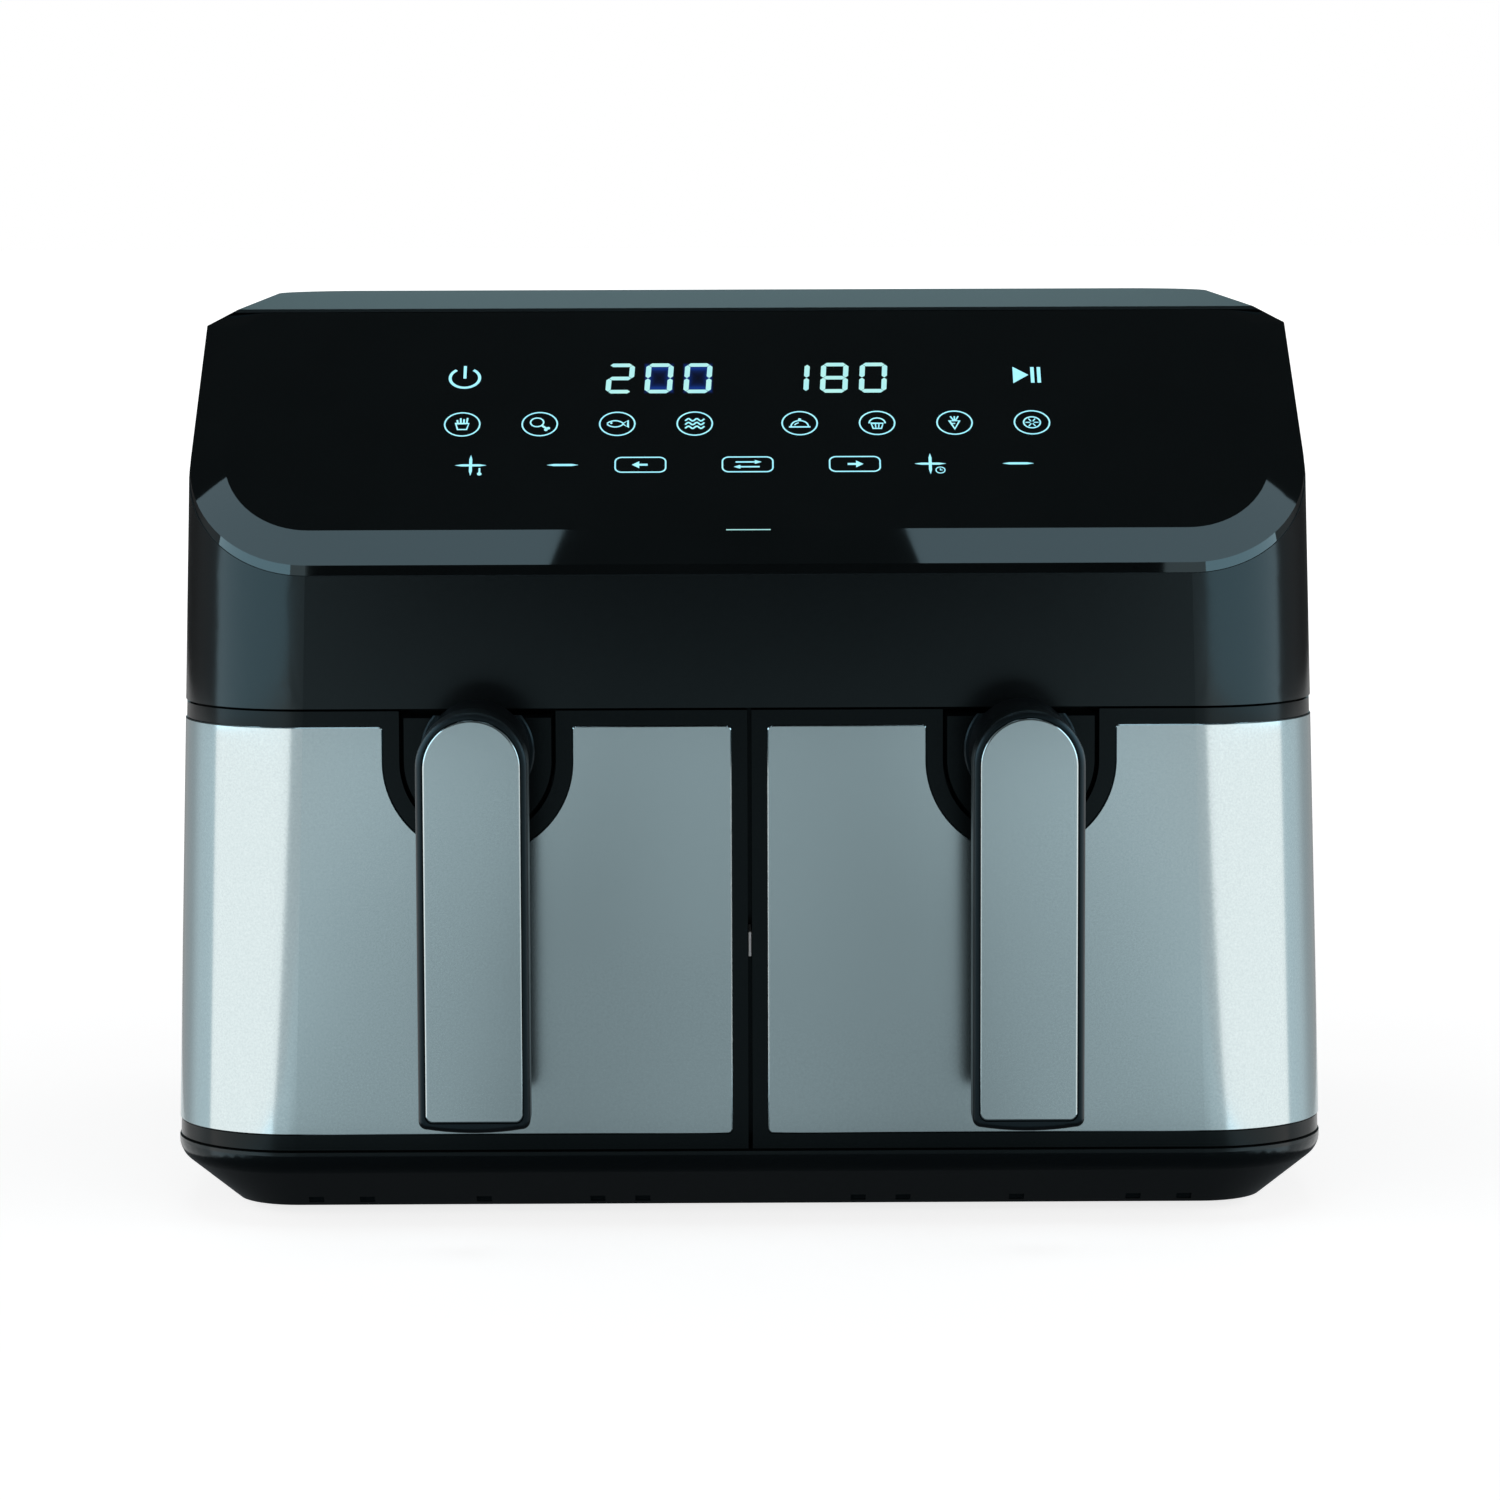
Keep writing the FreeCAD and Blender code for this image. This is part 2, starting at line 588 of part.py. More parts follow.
def make_display_board():
    return sloped_box(
        -DISPLAY_HALF_WIDTH - BOARD_LAP, DISPLAY_HALF_WIDTH + BOARD_LAP,
        DISPLAY_LOW - BOARD_LAP, DISPLAY_HIGH + BOARD_LAP, -SEAT_WALL - BOARD_T, -SEAT_WALL,
    )


def make_display_modules():
    return Part.makeCompound(list(module_boxes(0, -SEAT_WALL, -FIT)))


def make_power_board():
    face = BACK_Y - HOUSING_WALL - BOSS_RISE
    half_w, half_h = POWER_BOARD[0] / 2, POWER_BOARD[1] / 2
    front = face - BOARD_T
    board = box(-half_w, half_w, front, face, POWER_BOARD_Z - half_h, POWER_BOARD_Z + half_h)

    def component(middle_x, size):
        width, depth, height = size
        return box(
            middle_x - width / 2, middle_x + width / 2, front - depth, front,
            POWER_BOARD_Z - height / 2, POWER_BOARD_Z + height / 2,
        )

    transformer = component(TRANSFORMER_X, TRANSFORMER)
    relays = [component(x, RELAY) for x in RELAY_X]
    capacitor = rod(CAPACITOR_R, Vector(0, front, POWER_BOARD_Z), CAPACITOR_H, BACKWARD * -1)
    return union([board, transformer, capacitor] + relays)


# Drawer fronts
def skin_sheet(grow, rise, depth):
    """The steel's outline, grown all round, from a height above the body's face to a depth in it."""
    low = FRONT_LOW_Z + FRAME_BORDER - grow
    high = FRONT_HIGH_Z - FRAME_BORDER + grow
    inner = CENTRE_SEAM / 2 + FRAME_BORDER - grow
    notch_r = NOTCH_R - grow
    left, right, notch_low = DRAWER_X - notch_r, DRAWER_X + notch_r, NOTCH_Z - notch_r
    above = high + OVERCUT
    sheet = body_block(-rise, low, high)
    sheet = sheet.common(box(inner, FAR, -FAR, WRAP_END_Y - FRAME_BORDER + grow, -FAR, FAR))
    sheet = sheet.cut(body_block(depth, low - OVERCUT, above))
    corners = [(left, above), (left, notch_low), (right, notch_low), (right, above)]
    notch = upright_slab(corners, [0, notch_r, notch_r, 0], FRONT_Y - FRONT_T, COVER_FRONT_Y)
    sheet = sheet.cut(notch)
    for x, z, radius in (
        (inner, low, SKIN_CORNER_R), (inner, high, SKIN_CORNER_R),
        (left, high, NOTCH_LIP_R), (right, high, NOTCH_LIP_R),
    ):
        sheet = sheet.makeFillet(radius, edges_where(sheet, lambda b: runs_through(b, x, z)))
    return sheet


def outer_rim(sheet, outer):
    """The edges of a sheet where its faces on an outer form end."""
    sides = {}
    for face in sheet.Faces:
        u0, u1, v0, v1 = face.ParameterRange
        middle = Part.Vertex(face.valueAt((u0 + u1) / 2, (v0 + v1) / 2))
        if middle.distToShape(outer)[0] > 1e-3:
            continue
        for edge in face.Edges:
            sides.setdefault(edge.hashCode(), []).append(edge)
    return [edges[0] for edges in sides.values() if len(edges) == 1]


def make_steel_skin():
    skin = skin_sheet(0, 0, SKIN_T)
    outer = body_block(0, FRONT_LOW_Z, FRONT_HIGH_Z).Shells[0]
    return skin.makeChamfer(SKIN_EDGE, outer_rim(skin, outer))


def mount_prism(grow, top, y0, y1):
    """A U round the handle's root, flat at the top."""
    radius = MOUNT_R + grow
    left, right, low = DRAWER_X - radius, DRAWER_X + radius, NOTCH_Z - radius
    corners = [(left, top), (left, low), (right, low), (right, top)]
    return upright_slab(corners, [0, radius, radius, 0], y0, y1)


def make_drawer_frame():
    inner = CENTRE_SEAM / 2
    frame = body_block(SKIN_PROUD, FRONT_LOW_Z, FRONT_HIGH_Z)
    frame = frame.common(box(inner, FAR, -FAR, WRAP_END_Y, -FAR, FAR))
    hollow = body_block(FRAME_WALL, FRONT_LOW_Z + FRAME_WALL, FRONT_HIGH_Z - FRAME_WALL)
    hollow = hollow.common(box(inner + FRAME_WALL, FAR, -FAR, COVER_BACK_Y, -FAR, FAR))
    behind = body_block(FRAME_WALL, FRONT_LOW_Z - OVERCUT, FRONT_HIGH_Z + OVERCUT)
    behind = behind.common(box(inner - OVERCUT, FAR, COVER_BACK_Y, FAR, -FAR, FAR))
    bed = skin_sheet(SKIN_GAP, OVERCUT, SKIN_T + SKIN_BED)
    notch = mount_prism(MOUNT_GAP, FRONT_HIGH_Z + OVERCUT, FRONT_Y - OVERCUT, COVER_FRONT_Y)
    return frame.cut(Part.makeCompound([hollow, behind])).cut(bed).cut(notch)


def handle_screw_places():
    for x in (DRAWER_X - HANDLE_SCREW_SPREAD, DRAWER_X + HANDLE_SCREW_SPREAD):
        yield Vector(x, COVER_BACK_Y, HANDLE_ROUND_Z)


def handle_screw_holes(start, end):
    return Part.makeCompound(
        [rod(SCREW_R + FIT, Vector(p.x, start, p.z), end - start, BACKWARD) for p in handle_screw_places()]
    )


def make_drawer_cover():
    gap = FRAME_WALL + FIT
    cover = body_block(gap, FRONT_LOW_Z + gap, FRONT_HIGH_Z - gap)
    cover = cover.common(box(CENTRE_SEAM / 2 + gap, FAR, COVER_FRONT_Y, COVER_BACK_Y, -FAR, FAR))
    return cover.cut(handle_screw_holes(COVER_FRONT_Y - OVERCUT, COVER_BACK_Y + OVERCUT))


def make_handle_mount():
    mount = mount_prism(0, FRONT_HIGH_Z - MOUNT_DROP, MOUNT_FRONT_Y, COVER_FRONT_Y)
    front = edges_where(mount, lambda b: b.YMax < MOUNT_FRONT_Y + 1e-4)
    mount = mount.makeChamfer(MOUNT_BEVEL, front)
    return mount.cut(handle_screw_holes(MOUNT_FRONT_Y - OVERCUT, COVER_FRONT_Y + OVERCUT))


def make_handle_screws():
    screws = []
    for place in handle_screw_places():
        head = rod(SCREW_HEAD_R, place, SCREW_HEAD_H, BACKWARD)
        shank = rod(SCREW_R, place, HANDLE_SCREW_LENGTH, BACKWARD * -1)
        screws.append(union([head, shank]))
    return Part.makeCompound(screws)


# Handles
def bar_slab(inset, foot_r, bulge, y0, y1):
    """The handle's outline: round at the top, with a foot that is straight or bows down."""
    half = HANDLE_WIDTH / 2 - inset
    low = HANDLE_LOW_Z + inset
    left, right = DRAWER_X - half, DRAWER_X + half
    turn = foot_r * (1 - math.sqrt(0.5))

    def at(x, z):
        return Vector(x, y0, z)

    heel, toe = at(left + foot_r, low), at(right - foot_r, low)
    sole = Part.Arc(heel, at(DRAWER_X, low - bulge), toe) if bulge else Part.LineSegment(heel, toe)
    edges = [
        Part.Arc(at(right, HANDLE_ROUND_Z), at(DRAWER_X, HANDLE_ROUND_Z + half), at(left, HANDLE_ROUND_Z)),
        Part.LineSegment(at(left, HANDLE_ROUND_Z), at(left, low + foot_r)),
        Part.Arc(at(left, low + foot_r), at(left + turn, low + turn), heel),
        sole,
        Part.Arc(toe, at(right - turn, low + turn), at(right, low + foot_r)),
        Part.LineSegment(at(right, low + foot_r), at(right, HANDLE_ROUND_Z)),
    ]
    return Part.Face(Part.Wire([edge.toShape() for edge in edges])).extrude(Vector(0, y1 - y0, 0))


def make_neck():
    """The waisted round neck between the handle bar and its mount, with its round foot."""
    root_r = NECK_FOOT_R - NECK_FOOT_LAND
    rim_r = NECK_FOOT_R - NECK_FOOT_BEVEL
    tip_r = HANDLE_WIDTH / 2 - HANDLE_BACK_R
    tip_y = HANDLE_BACK_Y - HANDLE_T / 2
    foot_y = FRONT_Y
    middle_y = (HANDLE_BACK_Y + foot_y) / 2
    axis = Vector(DRAWER_X, 0, HANDLE_ROUND_Z)

    def at(radius, y):
        return axis + Vector(radius, y, 0)

    waist = Part.Arc(at(tip_r, HANDLE_BACK_Y), at(NECK_WAIST_R, middle_y), at(root_r, foot_y))
    edges = [
        Part.LineSegment(at(0, MOUNT_FRONT_Y), at(0, tip_y)).toShape(),
        Part.LineSegment(at(0, tip_y), at(tip_r, tip_y)).toShape(),
        Part.LineSegment(at(tip_r, tip_y), at(tip_r, HANDLE_BACK_Y)).toShape(),
        waist.toShape(),
        Part.LineSegment(at(root_r, foot_y), at(rim_r, foot_y)).toShape(),
        Part.LineSegment(at(rim_r, foot_y), at(NECK_FOOT_R, foot_y + NECK_FOOT_BEVEL)).toShape(),
        Part.LineSegment(at(NECK_FOOT_R, foot_y + NECK_FOOT_BEVEL), at(NECK_FOOT_R, MOUNT_FRONT_Y)).toShape(),
        Part.LineSegment(at(NECK_FOOT_R, MOUNT_FRONT_Y), at(0, MOUNT_FRONT_Y)).toShape(),
    ]
    neck = Part.Face(Part.Wire(edges)).revolve(axis, BACKWARD, TURN)
    above_mount = box(-FAR, FAR, FRONT_Y - RUN, FAR, FRONT_HIGH_Z - MOUNT_DROP, FAR)
    return neck.cut(above_mount)


def make_handle():
    bar = bar_slab(0, HANDLE_FOOT_R, HANDLE_FOOT_BULGE, HANDLE_FRONT_Y, HANDLE_BACK_Y)
    bar = bar.makeFillet(HANDLE_FRONT_R, edges_where(bar, lambda b: b.YMax < HANDLE_FRONT_Y + 1e-4))
    bar = bar.makeFillet(HANDLE_BACK_R, edges_where(bar, lambda b: b.YMin > HANDLE_BACK_Y - 1e-4))
    bed_y = HANDLE_FRONT_Y + INSERT_T - INSERT_PROUD
    pocket_rim = INSERT_RIM - INSERT_GAP
    pocket = bar_slab(pocket_rim, INSERT_FOOT_R + INSERT_GAP, 0, HANDLE_FRONT_Y - OVERCUT, bed_y)
    handle = union([bar, make_neck()]).cut(pocket)
    deep = COVER_BACK_Y - HANDLE_SCREW_LENGTH - FIT
    return handle.cut(handle_screw_holes(deep, MOUNT_FRONT_Y + OVERCUT))


def make_handle_insert():
    front = HANDLE_FRONT_Y - INSERT_PROUD
    plate = bar_slab(INSERT_RIM, INSERT_FOOT_R, 0, front, front + INSERT_T)
    return plate.makeFillet(INSERT_EDGE_R, edges_where(plate, lambda b: b.YMax < front + 1e-4))


# Baskets and crisper plates
def basket_outline(inset, z):
    half = BASKET_HALF_WIDTH - inset
    return level_outline(
        DRAWER_X - half, DRAWER_X + half, BASKET_FRONT_Y + inset, BASKET_BACK_Y - inset, z, BASKET_R - inset
    )


def basket_inset(z):
    """How far the tapering wall stands inside the mouth at a height."""
    return BASKET_DRAFT * (BASKET_TOP_Z - z) / (BASKET_TOP_Z - BASKET_LOW_Z)


def basket_block(wall, low, floor_r):
    outlines = [basket_outline(basket_inset(low) + wall, low), basket_outline(wall, BASKET_TOP_Z)]
    block = Part.makeLoft(outlines, True, True)
    return block.makeFillet(floor_r, edges_where(block, lambda b: b.ZMax < low + 1e-4))


def make_basket():
    pan = basket_block(0, BASKET_LOW_Z, BASKET_FLOOR_R)
    rim = Part.Face(basket_outline(-RIM_WIDTH, BASKET_TOP_Z - RIM_T)).extrude(UP * RIM_T)
    pad_y = BASKET_FRONT_Y + BASKET_DRAFT
    pad = box(DRAWER_X - PAD_HALF_WIDTH, DRAWER_X + PAD_HALF_WIDTH, COVER_BACK_Y, pad_y, *PAD_SPAN)
    basket = union([pan, rim, pad])
    return basket.cut(basket_block(BASKET_WALL, BASKET_LOW_Z + BASKET_WALL, BASKET_FLOOR_R - BASKET_WALL))


def plate_inset():
    return basket_inset(PLATE_Z) + BASKET_WALL + PLATE_GAP


def make_crisper_plate():
    plate = Part.Face(basket_outline(plate_inset(), PLATE_LOW_Z)).extrude(UP * (PLATE_RIM + PLATE_T))
    under = Part.Face(basket_outline(plate_inset() + PLATE_T, PLATE_LOW_Z - OVERCUT))
    under = under.extrude(UP * (PLATE_RIM + OVERCUT))
    width, length = PLATE_SLOT
    pitch_x, pitch_y = PLATE_SLOT_PITCH
    slots = []
    for column in range(PLATE_SLOT_COLUMNS):
        x = DRAWER_X + (column - (PLATE_SLOT_COLUMNS - 1) / 2) * pitch_x
        for row in range(PLATE_SLOT_ROWS):
            y = FAN_Y + (row - (PLATE_SLOT_ROWS - 1) / 2) * pitch_y
            outline = level_outline(
                x - width / 2, x + width / 2, y - length / 2, y + length / 2, PLATE_Z - OVERCUT, width / 2
            )
            slots.append(Part.Face(outline).extrude(UP * (PLATE_T + 2 * OVERCUT)))
    return plate.cut(under).cut(Part.makeCompound(slots))


def make_plate_bumpers():
    """Silicone blocks that grip the plate's rim and stand on the basket's floor."""
    length, grip, height = BUMPER_SIZE
    floor = BASKET_LOW_Z + BASKET_WALL + RUN
    room = basket_block(BASKET_WALL + RUN, floor, BASKET_FLOOR_R - BASKET_WALL)
    inner = BASKET_HALF_WIDTH - plate_inset() - grip
    slit = Part.Face(basket_outline(plate_inset() - SKIN_BED, PLATE_LOW_Z - SKIN_BED)).extrude(UP * FAR)
    bumpers = []
    for y in (FAN_Y - BUMPER_SPREAD, FAN_Y + BUMPER_SPREAD):
        for x0, x1 in ((DRAWER_X - FAR, DRAWER_X - inner), (DRAWER_X + inner, DRAWER_X + FAR)):
            block = box(x0, x1, y - length / 2, y + length / 2, floor, floor + height)
            bumpers.append(block.common(room).cut(slit))
    return Part.makeCompound(bumpers)


# Cooking chambers
def chamber_tunnel(wall, y0, y1):
    half = CHAMBER_WIDTH / 2 + wall
    low, high = CHAMBER_FLOOR_Z - wall, CHAMBER_ROOF_Z + wall
    left, right = DRAWER_X - half, DRAWER_X + half
    corners = [(left, low), (right, low), (right, high), (left, high)]
    return upright_slab(corners, [CHAMBER_R + wall] * 4, y0, y1)


def fan_axis(z):
    return Vector(DRAWER_X, FAN_Y, z)


def heater_terminals():
    for x in (-HEATER_BEND_R, HEATER_BEND_R):
        yield fan_axis(0) + Vector(x, HEATER_OUTER_R, 0)


def duct_prism(wall, y0, y1):
    return vent_prism(DRAWER_X, VENT_RIM + DUCT_WALL - wall, y0, y1)


def make_cooking_chamber():
    back = CHAMBER_BACK_Y + CHAMBER_WALL
    liner = union([
        chamber_tunnel(CHAMBER_WALL, FASCIA_BACK_Y, back),
        chamber_tunnel(CHAMBER_FLANGE, FASCIA_BACK_Y, FASCIA_BACK_Y + CHAMBER_WALL),
        rod(DOME_R + CHAMBER_WALL, fan_axis(CHAMBER_ROOF_Z), DOME_TOP_Z + CHAMBER_WALL - CHAMBER_ROOF_Z),
    ])
    liner = liner.cut(chamber_tunnel(0, FASCIA_BACK_Y - OVERCUT, CHAMBER_BACK_Y))
    dome_low = CHAMBER_ROOF_Z - OVERCUT
    liner = liner.cut(rod(DOME_R, fan_axis(dome_low), DOME_TOP_Z - dome_low))
    runners = []
    for x in (DRAWER_X - RUNNER_SPREAD, DRAWER_X + RUNNER_SPREAD):
        runners.append(box(
            x - RUNNER_WIDTH / 2, x + RUNNER_WIDTH / 2, FASCIA_BACK_Y + RUNNER_WIDTH, CHAMBER_BACK_Y,
            CHAMBER_FLOOR_Z - CHAMBER_WALL, CHAMBER_FLOOR_Z + RUNNER_HEIGHT,
        ))
    liner = union([liner] + runners)
    through = CHAMBER_WALL + 2 * OVERCUT
    inside = BACKWARD * -(CHAMBER_WALL + OVERCUT)
    cuts = [rod(SHAFT_HOLE_R, fan_axis(DOME_TOP_Z - OVERCUT), through)]
    for place in heater_terminals():
        cuts.append(rod(HEATER_R + RUN, place + UP * (DOME_TOP_Z - OVERCUT), through))
    for place in post_places():
        cuts.append(rod(SCREW_R + FIT, place - UP * OVERCUT, through))
    cuts.append(duct_prism(0, CHAMBER_BACK_Y - OVERCUT, back + OVERCUT))
    cuts.append(rod(PROBE_R + FIT, probe_place() + inside, through, BACKWARD))
    cuts.append(rod(PLUNGER_R + FIT, switch_place() + inside, through, BACKWARD))
    return liner.cut(Part.makeCompound(cuts))


def probe_place():
    return Vector(DRAWER_X + PROBE_X, CHAMBER_BACK_Y + CHAMBER_WALL, PROBE_Z)


def switch_place():
    return Vector(DRAWER_X, CHAMBER_BACK_Y + CHAMBER_WALL, SWITCH_Z)


def make_temperature_probe():
    place = probe_place()
    flange = rod(PROBE_FLANGE_R, place, PROBE_FLANGE_T, BACKWARD)
    stem = rod(PROBE_R, place - BACKWARD * PROBE_REACH, PROBE_REACH + PROBE_TAIL, BACKWARD)
    return union([flange, stem])


def make_drawer_switch():
    place = switch_place()
    width, depth, height = SWITCH_SIZE
    case = box(
        place.x - width / 2, place.x + width / 2, place.y, place.y + depth,
        place.z - height / 2, place.z + height / 2,
    )
    basket_back = BASKET_BACK_Y - basket_inset(SWITCH_Z + PLUNGER_R)
    reach = place.y - basket_back - 2 * RUN
    return union([case, rod(PLUNGER_R, place - BACKWARD * reach, reach + OVERCUT, BACKWARD)])


# Heaters
def make_heater():
    """One tube: down, round the outer ring, back round the inner ring, and up."""
    bend = HEATER_BEND_R
    outer, inner, z = HEATER_OUTER_R, HEATER_INNER_R, HEATER_Z
    top = DOME_TOP_Z + CHAMBER_WALL + HEATER_TAIL
    lean = math.degrees(math.asin(bend / math.hypot(outer, bend)))
    inner_end = TURN / 4
    ring_start = inner_end + 2 * lean
    ring_end = TURN + HEATER_TURN_AT

    def polar(radius, degrees, height=z):
        angle = math.radians(degrees)
        return fan_axis(height) + Vector(radius * math.cos(angle), radius * math.sin(angle), 0)

    def ring(radius, start, end):
        middle = (start + end) / 2
        for a, b in ((start, middle), (middle, end)):
            yield Part.Arc(polar(radius, a), polar(radius, (a + b) / 2), polar(radius, b)).toShape()

    def quarter(start, first, second):
        """A bend that leaves along one direction and arrives along another."""
        corner = math.sqrt(0.5)
        middle = start + first * (bend * corner) + second * (bend * (1 - corner))
        return Part.Arc(start, middle, start + (first + second) * bend).toShape()

    start_ring = polar(outer, ring_start)
    along = Vector(-math.sin(math.radians(ring_start)), math.cos(math.radians(ring_start)), 0)
    first_up = start_ring - along * bend + UP * bend
    turn_middle = (outer + inner) / 2
    turn_side = Vector(-math.sin(math.radians(ring_end)), math.cos(math.radians(ring_end)), 0)
    turn_peak = polar(turn_middle, ring_end) + turn_side * ((outer - inner) / 2)
    inner_stop = polar(inner, inner_end)
    outward = inner_stop + Vector(bend, bend, 0)
    last_up = outward + Vector(0, bend, bend)
    edges = [Part.LineSegment(Vector(first_up.x, first_up.y, top), first_up).toShape()]
    edges.append(quarter(first_up, UP * -1, along))
    edges.extend(ring(outer, ring_start, ring_end))
    edges.append(Part.Arc(polar(outer, ring_end), turn_peak, polar(inner, ring_end)).toShape())
    edges.extend(ring(inner, ring_end, inner_end))
    edges.append(quarter(inner_stop, Vector(1, 0, 0), BACKWARD))
    edges.append(quarter(outward, BACKWARD, UP))
    edges.append(Part.LineSegment(last_up, Vector(last_up.x, last_up.y, top)).toShape())
    path = Part.Wire(edges)
    section = Part.Wire(Part.makeCircle(HEATER_R, Vector(first_up.x, first_up.y, top), UP))
    return path.makePipeShell([section], True, False)


def make_heater_guard():
    top = CHAMBER_ROOF_Z
    guard = rod(GUARD_R, fan_axis(top - GUARD_T), GUARD_T)
    gaps = []
    for inside, outside in zip(GUARD_RINGS, GUARD_RINGS[1:]):
        base = fan_axis(top - GUARD_T - OVERCUT)
        ring = rod(outside - GUARD_BAR / 2, base, GUARD_T + 2 * OVERCUT)
        gaps.append(ring.cut(rod(inside + GUARD_BAR / 2, base, GUARD_T + 2 * OVERCUT)))
    spokes = []
    for i in range(GUARD_SPOKES):
        low, high = top - GUARD_T - 2 * OVERCUT, top + 2 * OVERCUT
        spoke = box(0, GUARD_R, -GUARD_BAR / 2, GUARD_BAR / 2, low, high)
        spoke.rotate(Vector(0, 0, 0), UP, TURN / GUARD_SPOKES * i)
        spoke.translate(fan_axis(0))
        spokes.append(spoke)
    return guard.cut(Part.makeCompound(gaps).cut(Part.makeCompound(spokes)))


# Motors and fans
def make_motor_bracket():
    low = DOME_TOP_Z + CHAMBER_WALL
    half, wide, t = BRACKET_SPAN / 2, BRACKET_WIDTH / 2, BRACKET_T
    centre = fan_axis(0)
    pieces = [box(-half, half, -wide, wide, BRACKET_Z, BRACKET_Z + t)]
    for side in (-1, 1):
        leg = sorted((side * half, side * (half - t)))
        foot = sorted((side * half, side * (half + BRACKET_FOOT)))
        pieces.append(box(*leg, -wide, wide, low, BRACKET_Z + t))
        pieces.append(box(*foot, -wide, wide, low, low + t))
    bracket = union(pieces)
    bracket.translate(centre)
    return bracket.cut(rod(COOLER_HUB_R, fan_axis(BRACKET_Z - OVERCUT), t + 2 * OVERCUT))


def make_motor():
    top = MOTOR_Z + MOTOR_H
    bore = SHAFT_R + SHAFT_RUN
    room = ROTOR_R + ROTOR_GAP
    can = turned([
        (bore, MOTOR_Z), (MOTOR_R - MOTOR_BEVEL, MOTOR_Z), (MOTOR_R, MOTOR_Z + MOTOR_BEVEL),
        (MOTOR_R, top - MOTOR_BEVEL), (MOTOR_R - MOTOR_BEVEL, top), (bore, top), (bore, top - BUSH_H),
        (room, top - BUSH_H), (room, MOTOR_Z + BUSH_H), (bore, MOTOR_Z + BUSH_H),
    ], fan_axis(0))
    half = STATOR_SIZE / 2
    middle = MOTOR_Z + MOTOR_H / 2
    outline = level_outline(
        DRAWER_X - half, DRAWER_X + half, FAN_Y - half, FAN_Y + half, middle - STATOR_H / 2, STATOR_R
    )
    stack = Part.Face(outline).extrude(UP * STATOR_H)
    stack = stack.cut(rod(MOTOR_R - MOTOR_WALL, fan_axis(MOTOR_Z), MOTOR_H))
    return union([can, stack])


def make_fan_shaft():
    low = FAN_LOW_Z - NUT_H - SHAFT_END
    top = MOTOR_Z + MOTOR_H + SHAFT_END
    rotor_low = MOTOR_Z + BUSH_H + ROTOR_GAP
    rotor_high = MOTOR_Z + MOTOR_H - BUSH_H - ROTOR_GAP
    return turned([
        (0, low), (SHAFT_R - SHAFT_TIP, low), (SHAFT_R, low + SHAFT_TIP), (SHAFT_R, rotor_low),
        (ROTOR_R, rotor_low), (ROTOR_R, rotor_high), (SHAFT_R, rotor_high), (SHAFT_R, top - SHAFT_TIP),
        (SHAFT_R - SHAFT_TIP, top), (0, top),
    ], fan_axis(0))


def shaft_bore():
    return rod(SHAFT_R + SHAFT_RUN, fan_axis(0), BODY_HEIGHT)


def make_hot_air_fan():
    """A pressed sheet disc with upright swept blades under it."""
    top = FAN_LOW_Z + FAN_HEIGHT
    disc = rod(FAN_R, fan_axis(top - FAN_SHEET), FAN_SHEET)
    pieces = [disc, rod(FAN_HUB_R, fan_axis(FAN_LOW_Z), FAN_HEIGHT)]
    for i in range(FAN_BLADES):
        blade = box(0, FAN_R - FAN_EYE_R, -FAN_SHEET / 2, FAN_SHEET / 2, FAN_LOW_Z, top)
        blade.rotate(Vector(0, 0, 0), UP, FAN_SWEEP)
        blade.translate(Vector(FAN_EYE_R, 0, 0))
        blade.rotate(Vector(0, 0, 0), UP, TURN / FAN_BLADES * i)
        blade.translate(fan_axis(0))
        pieces.append(blade)
    fan = union(pieces).common(rod(FAN_R, fan_axis(FAN_LOW_Z), FAN_HEIGHT))
    return fan.cut(shaft_bore())


def make_fan_nut():
    corners = [
        fan_axis(FAN_LOW_Z - NUT_H) + Vector(NUT_R * math.cos(a), NUT_R * math.sin(a), 0)
        for a in (math.radians(TURN / NUT_SIDES * i) for i in range(NUT_SIDES))
    ]
    nut = Part.Face(Part.makePolygon(corners + corners[:1])).extrude(UP * NUT_H)
    return nut.cut(shaft_bore())


def make_cooling_fan():
    """A moulded hub with tilted blades, which cools the motor."""
    low = DOME_TOP_Z + CHAMBER_WALL + (BRACKET_RISE - COOLER_HEIGHT) / 2
    hub = rod(COOLER_HUB_R, fan_axis(low), COOLER_HEIGHT)
    room = rod(COOLER_R, fan_axis(low), COOLER_HEIGHT)
    half_t = COOLER_BLADE_T / 2
    blades = []
    for i in range(COOLER_BLADES):
        blade = box(SHAFT_HOLE_R, COOLER_R + OVERCUT, -half_t, half_t, -COOLER_HEIGHT, COOLER_HEIGHT)
        blade.rotate(Vector(0, 0, 0), Vector(1, 0, 0), COOLER_TILT)
        blade.rotate(Vector(0, 0, 0), UP, TURN / COOLER_BLADES * i)
        blade.translate(fan_axis(low + COOLER_HEIGHT / 2))
        blades.append(blade.common(room))
    fan = union([hub] + blades)
    return fan.cut(shaft_bore())


# Rear vents and cord gland
def vent_prism(centre_x, inset, y0, y1):
    half_w, half_h = VENT_SIZE[0] / 2 - inset, VENT_SIZE[1] / 2 - inset
    corners = [
        (centre_x - half_w, VENT_Z - half_h), (centre_x + half_w, VENT_Z - half_h),
        (centre_x + half_w, VENT_Z + half_h), (centre_x - half_w, VENT_Z + half_h),
    ]
    return upright_slab(corners, [max(VENT_R - inset, VENT_THROAT_R)] * 4, y0, y1)


